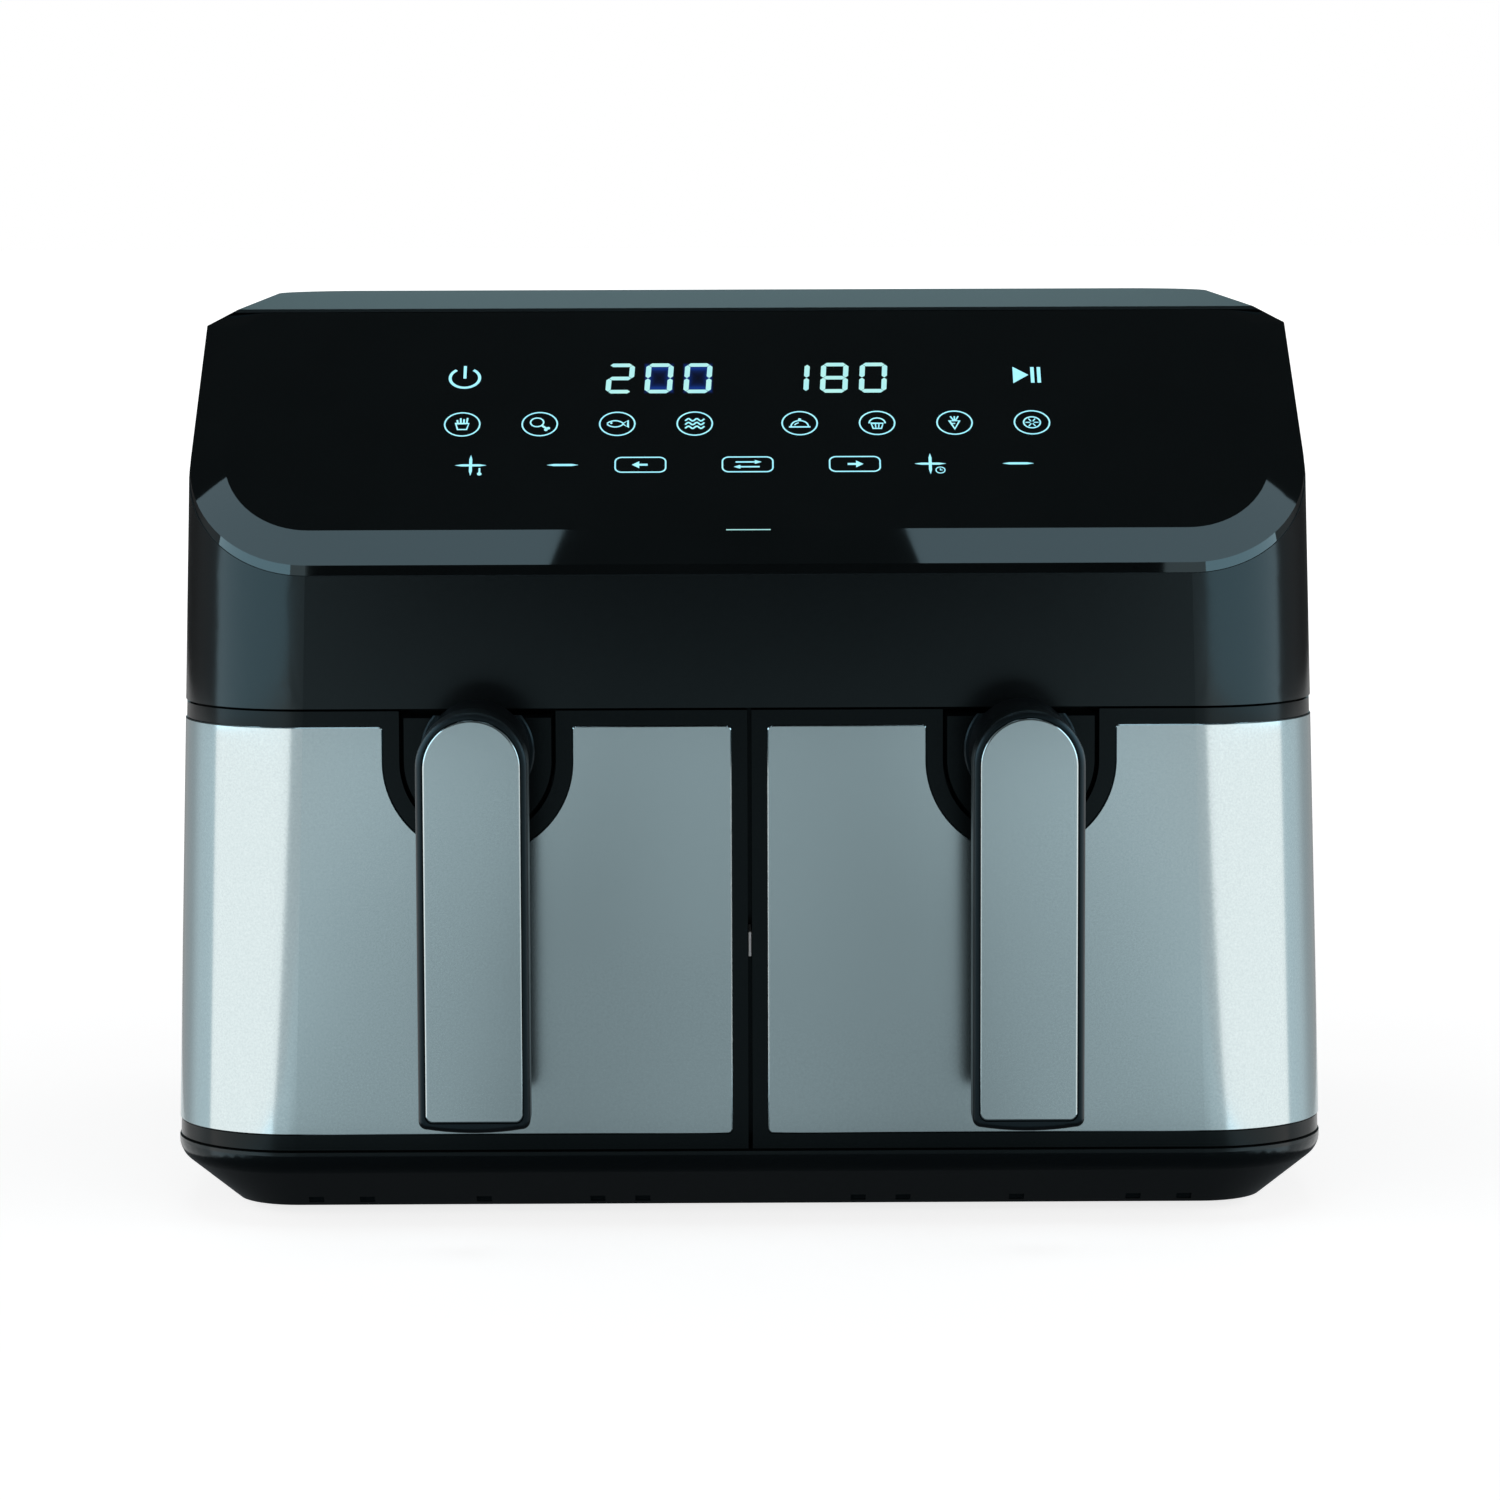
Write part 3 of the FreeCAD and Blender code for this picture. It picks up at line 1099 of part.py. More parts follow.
def make_vent_grille():
    """A louvred outlet: a rim outside the wall, a neck through it, and sloping slats."""
    tip = BACK_Y + VENT_STAND_OFF
    inner_wall = BACK_Y - SHELL_WALL
    rim = vent_prism(DRAWER_X, 0, BACK_Y, tip)
    rim = rim.makeFillet(VENT_EDGE_R, edges_where(rim, lambda b: b.YMin > tip - 1e-4))
    shell = union([rim, vent_prism(DRAWER_X, VENT_RIM, inner_wall, BACK_Y)])
    throat = vent_prism(DRAWER_X, VENT_RIM + DUCT_WALL, inner_wall - OVERCUT, tip + OVERCUT)
    depth = VENT_STAND_OFF + SHELL_WALL - 2 * VENT_SLAT_SINK
    pitch = (VENT_SIZE[1] - 2 * VENT_RIM) / (VENT_SLATS + 1)
    half_w = VENT_SIZE[0] / 2 - VENT_RIM
    slats = []
    for i in range(VENT_SLATS):
        corner = Vector(DRAWER_X - half_w, -depth / 2, -VENT_SLAT_T / 2)
        slat = Part.makeBox(2 * half_w, depth, VENT_SLAT_T, corner)
        slat.rotate(Vector(0, 0, 0), Vector(1, 0, 0), -VENT_SLAT_TILT)
        z = VENT_Z + (i - (VENT_SLATS - 1) / 2) * pitch
        slat.translate(Vector(0, (inner_wall + tip) / 2, z))
        slats.append(slat)
    return union([shell.cut(throat)] + slats)


def make_exhaust_duct():
    start = CHAMBER_BACK_Y + CHAMBER_WALL
    end = BACK_Y - SHELL_WALL
    return duct_prism(DUCT_WALL, start, end).cut(duct_prism(0, start - OVERCUT, end + OVERCUT))


def make_cord_gland():
    axis = Vector(GLAND_X, BACK_Y, GLAND_Z)
    flange = rod(GLAND_FLANGE_R, axis, GLAND_FLANGE_T, BACKWARD)
    tip = BACK_Y + GLAND_FLANGE_T
    flange = flange.makeFillet(GLAND_EDGE_R, edges_where(flange, lambda b: b.YMin > tip - 1e-4))
    inside = SHELL_WALL + GLAND_TAIL
    body = rod(GLAND_R, axis - BACKWARD * inside, inside, BACKWARD)
    bore_start = axis - BACKWARD * (inside + OVERCUT)
    bore = rod(GLAND_BORE_R, bore_start, inside + GLAND_FLANGE_T + 2 * OVERCUT, BACKWARD)
    return union([flange, body]).cut(bore)


SINGLE_PIECES = {
    "base_pan": make_base_pan,
    "rubber_feet": make_rubber_feet,
    "base_screws": make_base_screws,
    "rear_shell": make_rear_shell,
    "upper_housing": make_upper_housing,
    "front_fascia": make_front_fascia,
    "drawer_spacer": make_drawer_spacer,
    "control_panel": make_control_panel,
    "display_frame": make_display_frame,
    "display_board": make_display_board,
    "display_modules": make_display_modules,
    "power_board": make_power_board,
    "cord_gland": make_cord_gland,
}

PAIRED_PIECES = {
    "drawer_frame": make_drawer_frame,
    "drawer_cover": make_drawer_cover,
    "steel_skin": make_steel_skin,
    "handle_mount": make_handle_mount,
    "handle_screws": make_handle_screws,
    "handle": make_handle,
    "handle_insert": make_handle_insert,
    "basket": make_basket,
    "crisper_plate": make_crisper_plate,
    "plate_bumpers": make_plate_bumpers,
    "cooking_chamber": make_cooking_chamber,
    "temperature_probe": make_temperature_probe,
    "drawer_switch": make_drawer_switch,
    "heater": make_heater,
    "heater_guard": make_heater_guard,
    "motor_bracket": make_motor_bracket,
    "motor": make_motor,
    "fan_shaft": make_fan_shaft,
    "hot_air_fan": make_hot_air_fan,
    "fan_nut": make_fan_nut,
    "cooling_fan": make_cooling_fan,
    "vent_grille": make_vent_grille,
    "exhaust_duct": make_exhaust_duct,
}


def main():
    os.makedirs("parts", exist_ok=True)
    shapes = {name: make() for name, make in SINGLE_PIECES.items()}
    for name, make in PAIRED_PIECES.items():
        right = make()
        shapes[name + "_right"] = right
        shapes[name + "_left"] = mirrored(right)
    for name, shape in shapes.items():
        solids = shape.Solids
        valid = all(solid.isValid() and solid.Volume > 0 for solid in solids)
        print(f"{name}: {len(solids)} solid(s), {shape.Volume:.0f} mm3, valid {valid}")
        Part.makeCompound(solids).exportStep(f"parts/{name}.step")


main()
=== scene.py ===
import json
import math

import bmesh
import bpy
from mathutils import Matrix, Vector


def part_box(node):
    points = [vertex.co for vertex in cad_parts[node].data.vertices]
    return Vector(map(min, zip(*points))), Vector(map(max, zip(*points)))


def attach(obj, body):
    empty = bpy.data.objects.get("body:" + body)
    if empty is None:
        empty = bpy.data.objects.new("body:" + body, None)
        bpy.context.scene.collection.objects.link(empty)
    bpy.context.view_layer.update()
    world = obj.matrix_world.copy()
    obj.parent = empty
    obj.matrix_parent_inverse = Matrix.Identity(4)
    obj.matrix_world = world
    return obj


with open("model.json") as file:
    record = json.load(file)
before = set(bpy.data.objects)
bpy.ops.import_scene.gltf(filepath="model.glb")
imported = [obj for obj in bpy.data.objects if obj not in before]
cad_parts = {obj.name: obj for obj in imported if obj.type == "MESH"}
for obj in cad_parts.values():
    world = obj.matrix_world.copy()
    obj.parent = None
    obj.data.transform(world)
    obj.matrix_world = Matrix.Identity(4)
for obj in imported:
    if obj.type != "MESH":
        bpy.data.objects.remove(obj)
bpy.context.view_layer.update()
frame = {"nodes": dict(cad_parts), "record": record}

MM = 0.001
SIDES = (("left", -1), ("right", 1))
MATRIX_SIZE = 4
EVEN = (1.0, 1.0, 1.0)
NOISE_LOW = 0.3
NOISE_HIGH = 0.7

# Camera, fitted to the photograph: metres, degrees, and the lens in mm
CAMERA_AHEAD = 1.780
CAMERA_X = -0.012
CAMERA_HEIGHT = 0.363
CAMERA_YAW = -0.393
CAMERA_PITCH = 6.55
CAMERA_ROLL = -0.19
CAMERA_LENS = 131.06
LEVEL_AHEAD = 90.0

# Signs on the panel: degrees, and mm across (u) and up (v) its sloping face from the middle of its lower edge
SIGN_RISE = 0.06
SIGN_SINK = 0.10
SIGN_MITER = 0.5
ARC_STEP = 12.0
RING_END = 345.0
QUARTER = 90.0
LEFT_READING = "200"
RIGHT_READING = "180"
DIGIT_V = 93.4
DIGIT_FIRST_U = 16.5
DIGIT_PITCH = 13.15
DIGIT_WIDTH = 9.3
DIGIT_HEIGHT = 15.4
DIGIT_STROKE = 1.75
DIGIT_SLANT = 0.05
DIGIT_GAP = 0.12
DIGIT_LEVEL = 1.0
GLOW_COUNT = 2
GLOW_BESIDE = 3.4
GLOW_ABOVE = 4.0
GLOW_RADIUS = 3.0
GLOW_SINK_SHARE = 0.6
TOUCH_V = 94.5
POWER_U = -95.4
POWER_DROP = 0.6
POWER_RADIUS = 5.0
POWER_ARC = (125.0, 415.0)
POWER_BAR = (-0.8, 5.6)
POWER_LINE = 1.0
PLAY_U = 94.8
PLAY_TRIANGLE = ((-4.6, -4.2), (0.6, 0.0), (-4.6, 4.2))
PLAY_BARS = (2.0, 4.2)
PLAY_BAR_HALF = 0.6
PLAY_BAR_REACH = 4.0
ICON_V = 70.1
ICON_FIRST_U = 17.6
ICON_PITCH = 26.0
ICON_RADIUS = 5.9
ICON_LINE = 0.5
ICON_BOLD = 0.6
ICON_FINE = 0.4
ICON_LEVEL = 1.15
KEY_V = 49.4
PLUS_U = (-92.2, 60.8)
MINUS_U = (-61.6, 90.1)
KEY_SIZE = 10.4
KEY_STROKE = 1.0
KEY_TAPER = 2.2
KEY_GAP = 0.05
THERMOMETER_ASIDE = 3.0
THERMOMETER_DOWN = 3.3
CLOCK_ASIDE = 3.3
CLOCK_DOWN = 3.2
BOX_U = 35.7
BOX_WIDTH = 16.8
BOX_HEIGHT = 7.4
BOX_RADIUS = 2.2
BOX_LINE = 0.5
ARROW_LAP = 0.2
SIDE_ARROW = {"tail": -2.4, "neck": 0.4, "tip": 2.8, "half": 1.7, "width": 0.9}
JOIN_ARROW = {"tail": -4.0, "neck": 2.4, "tip": 4.6, "half": 0.95, "width": 0.6}
JOIN_V = 1.2
# The ridge line is a painted highlight: a glowing line where the panel's lower ridge catches light
RIDGE_HIGHLIGHT_V = 17.1
RIDGE_HIGHLIGHT_LENGTH = 14.6
RIDGE_HIGHLIGHT_LINE = 0.35
RIDGE_HIGHLIGHT_LEVEL = 0.9

# Colours, linear
SHELL_BLACK = (0.0022, 0.0029, 0.0034)
SHELL_GREY = (0.0031, 0.0039, 0.0045)
FRAME_BLACK = (0.0008, 0.0011, 0.0013)
FRAME_GREY = (0.0014, 0.0019, 0.0022)
HANDLE_BLACK = (0.0036, 0.0044, 0.0050)
HANDLE_GREY = (0.0052, 0.0062, 0.0070)
PANEL_BLACK = (0.0046, 0.0064, 0.0070)
PANEL_GREY = (0.0054, 0.0074, 0.0081)
STEEL_LOW = (0.222, 0.305, 0.332)
STEEL_HIGH = (0.258, 0.348, 0.376)
COOL_GLOSS = (0.60, 0.90, 1.0)
GRIP_GLOSS = (0.42, 0.80, 1.0)
NONSTICK_LOW = (0.016, 0.016, 0.018)
NONSTICK_HIGH = (0.030, 0.030, 0.033)
NONSTICK_FLECK = (0.20, 0.20, 0.21)
LINER_LOW = (0.40, 0.41, 0.42)
LINER_HIGH = (0.56, 0.57, 0.58)
DUCT_LOW = (0.38, 0.40, 0.41)
DUCT_HIGH = (0.58, 0.60, 0.61)
BRIGHT_LOW = (0.56, 0.57, 0.58)
BRIGHT_HIGH = (0.68, 0.69, 0.70)
ZINC_LOW = (0.44, 0.45, 0.45)
ZINC_HIGH = (0.60, 0.61, 0.62)
HEAT_BLUE = (0.11, 0.12, 0.15)
HEAT_STRAW = (0.28, 0.23, 0.17)
IRON_LOW = (0.06, 0.06, 0.065)
IRON_HIGH = (0.22, 0.22, 0.23)
ALUMINIUM_LOW = (0.60, 0.61, 0.62)
ALUMINIUM_HIGH = (0.72, 0.73, 0.74)
SWITCH_LOW = (0.035, 0.035, 0.038)
SWITCH_HIGH = (0.055, 0.055, 0.060)
PALE_LOW = (0.62, 0.67, 0.69)
PALE_HIGH = (0.74, 0.78, 0.80)
BOARD_GREEN = (0.020, 0.130, 0.055)
BOARD_TRACE = (0.050, 0.210, 0.095)
MODULE_LOW = (0.020, 0.020, 0.022)
MODULE_HIGH = (0.050, 0.050, 0.055)
SILICONE_LOW = (0.014, 0.014, 0.015)
SILICONE_HIGH = (0.026, 0.026, 0.028)
RUBBER_LOW = (0.010, 0.010, 0.010)
RUBBER_HIGH = (0.022, 0.022, 0.022)
DIGIT_LIGHT = (0.50, 0.92, 0.86)
DIGIT_EDGE = (0.42, 0.86, 0.90)
ICON_LIGHT = (0.40, 0.90, 1.00)
ICON_EDGE = (0.31, 0.80, 0.96)
GLOW_BLUE = (0.02, 0.13, 0.90)
GLOW_STOPS = (
    (0.0, 0.012), (0.12, 0.03), (0.19, 0.08), (0.26, 0.24),
    (0.33, 0.20), (0.38, 0.04), (0.41, 0.0), (0.50, 0.0),
)

# Stage, in metres and degrees, with levels where 1 is white
FLOOR_HALF = 14.0
FLOOR_COLOUR = (0.60, 0.60, 0.60)
FLOOR_GLOW = 0.80
FLOOR_NEAR = 0.50
FLOOR_FAR = 1.60
HORIZON_TOP = 0.34
ZENITH_LOW = 0.75
ZENITH_LEVEL = 0.035
LIGHT_WHITE = (1.0, 1.0, 1.0)
LIGHT_COOL = (0.85, 0.94, 1.0)
OVERHEAD_Z = 1.30
OVERHEAD_GAP = 0.058
OVERHEAD_WIDTH = 0.395
OVERHEAD_BACK = -0.060
OVERHEAD_DEPTH = 0.28
OVERHEAD_TURN = 22.0
OVERHEAD_LEVEL = 1.6
LAMP_WATTS_PER_AREA = 4.0

# Cards that only the object's gloss sees: places in metres, and levels where 1 is white
CARD_BLACK = (0.01, 0.01, 0.01)
CARD_ROUGHNESS = 0.9
BOARD_X = 0.22
BOARD_BACK = -0.124
BOARD_FOOT = 0.002
BOARD_STEP = 0.162
BOARD_TOP = 0.30
BOARD_END = -1.15
FOOT_BOARD_TOP = 0.014
FOOT_BOARD_LEVEL = 3.0
FOOT_BOARD_COLOUR = (0.90, 0.93, 0.96)
FOOT_BOARD_FRONT = -0.265
LOWER_BOARD_LEVEL = 3.0
LOWER_BOARD_COLOUR = (1.0, 0.835, 0.78)
LOWER_BOARD_FRONT = ((-0.274, 0.014), (-0.285, 0.022), (-0.40, 0.135), (-0.427, 0.162))
UPPER_BOARD_LEVEL = 4.2
UPPER_BOARD_COLOUR = (0.79, 0.93, 1.0)
UPPER_BOARD_FRONT = (-0.36, -0.34)
DIM_BOARD_LEVEL = 1.30
DIM_BOARD_COLOUR = (1.0, 0.93, 0.91)
SIDE_CARD_X = 0.30
SIDE_CARD_STOPS = (
    (-0.14, 1.45), (-0.10, 1.40), (-0.066, 1.28), (-0.03, 0.85),
    (-0.013, 0.72), (0.04, 0.60), (0.25, 0.38), (1.20, 0.38),
)
SIDE_CARD_DARK_STOPS = (
    (-0.14, 0.50), (-0.10, 0.40), (-0.07, 0.30), (-0.03, 0.15), (0.0, 0.08), (0.06, 0.05), (1.20, 0.05),
)
SIDE_CARD_STEP = 0.160
SIDE_CARD_TOP = 0.60
FLOOR_CARD_HALF = 0.30
FLOOR_CARD_Z = 0.0015
FAR_CARD_STOPS = ((-1.75, 1.30), (-1.55, 1.23), (-1.29, 1.12), (-1.08, 1.06), (-0.90, 1.02), (-0.70, 0.97))
FAR_CARD_ASIDE = (
    (0.0, 0.80), (0.02, 0.79), (0.037, 0.76), (0.051, 0.67), (0.065, 0.55), (0.09, 0.51), (0.105, 0.76),
    (0.115, 0.95), (0.155, 0.94), (0.178, 1.0), (0.193, 1.09), (0.207, 1.26), (0.23, 1.40), (0.30, 1.50),
)
NEAR_CARD_STOPS = ((-0.70, 1.0), (-0.50, 1.0), (-0.265, 1.0))
NEAR_CARD_ASIDE = (
    (0.0, 0.74), (0.02, 0.72), (0.034, 0.69), (0.047, 0.66), (0.06, 0.635), (0.08, 0.63), (0.09, 0.66),
    (0.10, 0.75), (0.11, 0.88), (0.145, 0.91), (0.155, 0.94), (0.165, 0.98), (0.175, 1.05), (0.185, 1.18),
    (0.20, 1.30), (0.30, 1.40),
)
SKIRT_HALF = 0.215
SKIRT_BACK = 0.30
SKIRT_LEVEL = 0.10
BACK_CARD_Y = 0.75
BACK_CARD_HALF = 1.10
BACK_CARD_TOP = 1.30
BACK_CARD_LEVEL = 1.20
BACK_CARD_COLOUR = (0.60, 0.92, 1.0)
LENS_CARD = ((-1.0, -1.20, 0.085), (1.0, -1.20, 0.80))


def new_finish(name, colour, roughness, metallic=0.0, specular=0.5):
    """A material with a plain shader, ready for its detail."""
    material = bpy.data.materials.new(name)
    material.use_nodes = True
    shader = material.node_tree.nodes["Principled BSDF"]
    shader.inputs["Base Color"].default_value = (*colour, 1.0)
    shader.inputs["Roughness"].default_value = roughness
    shader.inputs["Metallic"].default_value = metallic
    shader.inputs["Specular IOR Level"].default_value = specular
    return material, material.node_tree, shader


def cool_gloss(shader, colour=COOL_GLOSS):
    """Gives the black plastics their blue-grey shine."""
    shader.inputs["Specular Tint"].default_value = (*colour, 1.0)


def object_point(tree, stretch):
    """Points of the piece in metres, stretched where a grain runs one way."""
    coords = tree.nodes.new("ShaderNodeTexCoord")
    mapping = tree.nodes.new("ShaderNodeMapping")
    mapping.inputs["Scale"].default_value = stretch
    tree.links.new(coords.outputs["Object"], mapping.inputs["Vector"])
    return mapping.outputs["Vector"]


def noise(tree, scale, detail=2.0, stretch=EVEN):
    """Smooth noise with this many waves per metre."""
    node = tree.nodes.new("ShaderNodeTexNoise")
    node.inputs["Scale"].default_value = scale
    node.inputs["Detail"].default_value = detail
    tree.links.new(object_point(tree, stretch), node.inputs["Vector"])
    return node.outputs[0]


def cells(tree, scale):
    """Scattered cells with the distance to their middles, for flecks and spangle."""
    node = tree.nodes.new("ShaderNodeTexVoronoi")
    node.inputs["Scale"].default_value = scale
    tree.links.new(object_point(tree, EVEN), node.inputs["Vector"])
    return node


def bands(tree, scale, direction):
    """Regular bands along one axis."""
    node = tree.nodes.new("ShaderNodeTexWave")
    node.wave_type = "BANDS"
    node.bands_direction = direction
    node.inputs["Scale"].default_value = scale
    node.inputs["Distortion"].default_value = 0.0
    tree.links.new(object_point(tree, EVEN), node.inputs["Vector"])
    return node.outputs[0]


def spread(tree, value, low, high, start=NOISE_LOW, end=NOISE_HIGH):
    """A value between start and end, mapped to low and high."""
    node = tree.nodes.new("ShaderNodeMapRange")
    node.inputs["From Min"].default_value = start
    node.inputs["From Max"].default_value = end
    node.inputs["To Min"].default_value = low
    node.inputs["To Max"].default_value = high
    tree.links.new(value, node.inputs["Value"])
    return node.outputs["Result"]


def reckon(tree, operation, *values, clamp=False):
    """The result of one operation on one or two values."""
    node = tree.nodes.new("ShaderNodeMath")
    node.operation = operation
    node.use_clamp = clamp
    for place, value in enumerate(values):
        tree.links.new(value, node.inputs[place])
    return node.outputs["Value"]


def axes(tree, vector):
    """The X, Y and Z of a vector, by name."""
    node = tree.nodes.new("ShaderNodeSeparateXYZ")
    tree.links.new(vector, node.inputs["Vector"])
    return node.outputs


def profile(tree, value, stops):
    """A level that follows its stops, from the first to the last."""
    low = stops[0][0]
    high = stops[-1][0]
    ramp = tree.nodes.new("ShaderNodeValToRGB")
    elements = ramp.color_ramp.elements
    while len(elements) < len(stops):
        elements.new(0.5)
    for element, (place, level) in zip(elements, stops):
        element.position = (place - low) / (high - low)
        element.color = (level, level, level, 1.0)
    tree.links.new(spread(tree, value, low=0.0, high=1.0, start=low, end=high), ramp.inputs["Fac"])
    return ramp.outputs["Color"]


def tint(tree, value, first, second, start=NOISE_LOW, end=NOISE_HIGH):
    """A colour between two, by a value."""
    ramp = tree.nodes.new("ShaderNodeValToRGB")
    low, high = ramp.color_ramp.elements
    low.position = start
    low.color = (*first, 1.0)
    high.position = end
    high.color = (*second, 1.0)
    tree.links.new(value, ramp.inputs["Fac"])
    return ramp.outputs["Color"]


def layer(tree, factor, under, over):
    """One colour laid over another by a factor."""
    node = tree.nodes.new("ShaderNodeMixRGB")
    tree.links.new(factor, node.inputs["Fac"])
    tree.links.new(under, node.inputs["Color1"])
    tree.links.new(over, node.inputs["Color2"])
    return node.outputs["Color"]


def set_colour(tree, shader, colour):
    tree.links.new(colour, shader.inputs["Base Color"])


def set_roughness(tree, shader, value, low, high):
    tree.links.new(spread(tree, value, low, high), shader.inputs["Roughness"])


def set_bump(tree, shader, height, depth):
    """Fine relief of this depth in mm."""
    node = tree.nodes.new("ShaderNodeBump")
    node.inputs["Distance"].default_value = depth * MM
    tree.links.new(height, node.inputs["Height"])
    tree.links.new(node.outputs["Normal"], shader.inputs["Normal"])


def set_shell_roughness(tree, shader, grain):
    """Satin on upright faces, and duller on the level top with its heavier texture."""
    facing = tree.nodes.new("ShaderNodeNewGeometry")
    upward = axes(tree, facing.outputs["Normal"])["Z"]
    satin = spread(tree, grain, low=0.17, high=0.24)
    dull = spread(tree, upward, low=0.0, high=0.36, start=0.5, end=1.0)
    tree.links.new(reckon(tree, "ADD", satin, dull), shader.inputs["Roughness"])


def black_shell():
    """Matte housing plastic with a fine spark-eroded grain."""
    material, tree, shader = new_finish("black_shell_look", SHELL_BLACK, roughness=0.20, specular=0.22)
    cool_gloss(shader)
    grain = noise(tree, scale=2400.0, detail=3.0)
    patches = noise(tree, scale=14.0, detail=3.0)
    set_colour(tree, shader, tint(tree, patches, SHELL_BLACK, SHELL_GREY))
    set_shell_roughness(tree, shader, grain)
    set_bump(tree, shader, grain, depth=0.006)
    return material


def black_frame():
    """Satin black of the drawer fronts, mounts and inner frames."""
    material, tree, shader = new_finish("black_frame_look", FRAME_BLACK, roughness=0.22, specular=0.13)
    cool_gloss(shader)
    grain = noise(tree, scale=3200.0, detail=2.0)
    patches = noise(tree, scale=20.0, detail=3.0)
    set_colour(tree, shader, tint(tree, patches, FRAME_BLACK, FRAME_GREY))
    set_roughness(tree, shader, grain, low=0.18, high=0.26)
    set_bump(tree, shader, grain, depth=0.006)
    return material


def black_handle():
    """Satin grip plastic, a little smoother where hands polish it."""
    material, tree, shader = new_finish("black_handle_look", HANDLE_BLACK, roughness=0.34, specular=0.22)
    cool_gloss(shader, GRIP_GLOSS)
    grain = noise(tree, scale=2800.0, detail=2.0)
    patches = noise(tree, scale=30.0, detail=3.0)
    set_colour(tree, shader, tint(tree, patches, HANDLE_BLACK, HANDLE_GREY))
    set_roughness(tree, shader, patches, low=0.29, high=0.40)
    set_bump(tree, shader, grain, depth=0.004)
    return material


def gloss_panel():
    """Polished black panel with the faintest unevenness in its gloss."""
    material, tree, shader = new_finish("gloss_panel_look", PANEL_BLACK, roughness=0.025, specular=0.5)
    cool_gloss(shader)
    smears = noise(tree, scale=32.0, detail=4.0)
    waves = noise(tree, scale=10.0, detail=1.0)
    set_colour(tree, shader, tint(tree, smears, PANEL_BLACK, PANEL_GREY))
    set_roughness(tree, shader, smears, low=0.018, high=0.034)
    set_bump(tree, shader, waves, depth=0.004)
    return material


def brushed_steel():
    """Satin sheet with a fine even sparkle."""
    material, tree, shader = new_finish("brushed_steel_look", STEEL_LOW, roughness=0.15, metallic=1.0)
    sparkle = noise(tree, scale=1500.0, detail=3.0)
    patches = noise(tree, scale=5.0, detail=2.0)
    set_colour(tree, shader, tint(tree, sparkle, STEEL_LOW, STEEL_HIGH, start=0.25, end=0.75))
    set_roughness(tree, shader, patches, low=0.13, high=0.17)
    set_bump(tree, shader, sparkle, depth=0.003)
    return material


def nonstick():
    """Dark non-stick coating with small pale flecks."""
    material, tree, shader = new_finish("nonstick_look", NONSTICK_LOW, roughness=0.38, specular=0.5)
    clouds = noise(tree, scale=60.0, detail=3.0)
    specks = cells(tree, scale=420.0)
    fleck = spread(tree, specks.outputs["Distance"], low=1.0, high=0.0, start=0.10, end=0.16)
    base = tint(tree, clouds, NONSTICK_LOW, NONSTICK_HIGH)
    pale = tint(tree, clouds, NONSTICK_FLECK, NONSTICK_FLECK)
    chosen = spread(tree, noise(tree, scale=500.0, detail=0.0), low=0.0, high=1.0, start=0.52, end=0.60)
    amount = reckon(tree, "MULTIPLY", fleck, chosen)
    set_colour(tree, shader, layer(tree, amount, base, pale))
    set_roughness(tree, shader, clouds, low=0.32, high=0.44)
    set_bump(tree, shader, noise(tree, scale=1500.0, detail=3.0), depth=0.01)
    return material


def liner_steel():
    """Aluminised sheet: drawn streaks and a soft cloudy shine."""
    material, tree, shader = new_finish("liner_steel_look", LINER_LOW, roughness=0.34, metallic=1.0)
    streaks = noise(tree, scale=260.0, detail=4.0, stretch=(1.0, 1.0, 0.06))
    clouds = noise(tree, scale=18.0, detail=3.0)
    set_colour(tree, shader, tint(tree, clouds, LINER_LOW, LINER_HIGH))
    set_roughness(tree, shader, streaks, low=0.28, high=0.42)
    set_bump(tree, shader, streaks, depth=0.006)
    return material


def duct_steel():
    """Galvanised sheet with its spangle."""
    material, tree, shader = new_finish("duct_steel_look", DUCT_LOW, roughness=0.36, metallic=1.0)
    spangle = cells(tree, scale=110.0)
    shade = tree.nodes.new("ShaderNodeSeparateColor")
    tree.links.new(spangle.outputs["Color"], shade.inputs["Color"])
    tone = shade.outputs["Red"]
    set_colour(tree, shader, tint(tree, tone, DUCT_LOW, DUCT_HIGH, start=0.0, end=1.0))
    set_roughness(tree, shader, tone, low=0.30, high=0.44)
    return material


def bright_steel():
    """Bright drawn wire and rod."""
    material, tree, shader = new_finish("bright_steel_look", BRIGHT_LOW, roughness=0.18, metallic=1.0)
    lines = noise(tree, scale=900.0, detail=3.0)
    set_colour(tree, shader, tint(tree, lines, BRIGHT_LOW, BRIGHT_HIGH))
    set_roughness(tree, shader, lines, low=0.14, high=0.24)
    return material


def screw_steel():
    """Zinc-plated fasteners."""
    material, tree, shader = new_finish("screw_steel_look", ZINC_LOW, roughness=0.28, metallic=1.0)
    mottle = noise(tree, scale=700.0, detail=3.0)
    set_colour(tree, shader, tint(tree, mottle, ZINC_LOW, ZINC_HIGH))
    set_roughness(tree, shader, mottle, low=0.22, high=0.36)
    return material


def heater_tube():
    """Stainless tube with heat tints from straw to blue."""
    material, tree, shader = new_finish("heater_tube_look", HEAT_STRAW, roughness=0.36, metallic=1.0)
    tints = noise(tree, scale=26.0, detail=2.0)
    scale_marks = noise(tree, scale=1200.0, detail=2.0)
    set_colour(tree, shader, tint(tree, tints, HEAT_BLUE, HEAT_STRAW))
    set_roughness(tree, shader, tints, low=0.30, high=0.46)
    set_bump(tree, shader, scale_marks, depth=0.005)
    return material


def motor_iron():
    """Stacked, lacquered motor laminations."""
    material, tree, shader = new_finish("motor_iron_look", IRON_LOW, roughness=0.5, metallic=0.8)
    sheets = bands(tree, scale=300.0, direction="Z")
    set_colour(tree, shader, tint(tree, sheets, IRON_LOW, IRON_HIGH, start=0.1, end=0.6))
    set_roughness(tree, shader, noise(tree, scale=200.0), low=0.42, high=0.58)
    set_bump(tree, shader, sheets, depth=0.04)
    return material


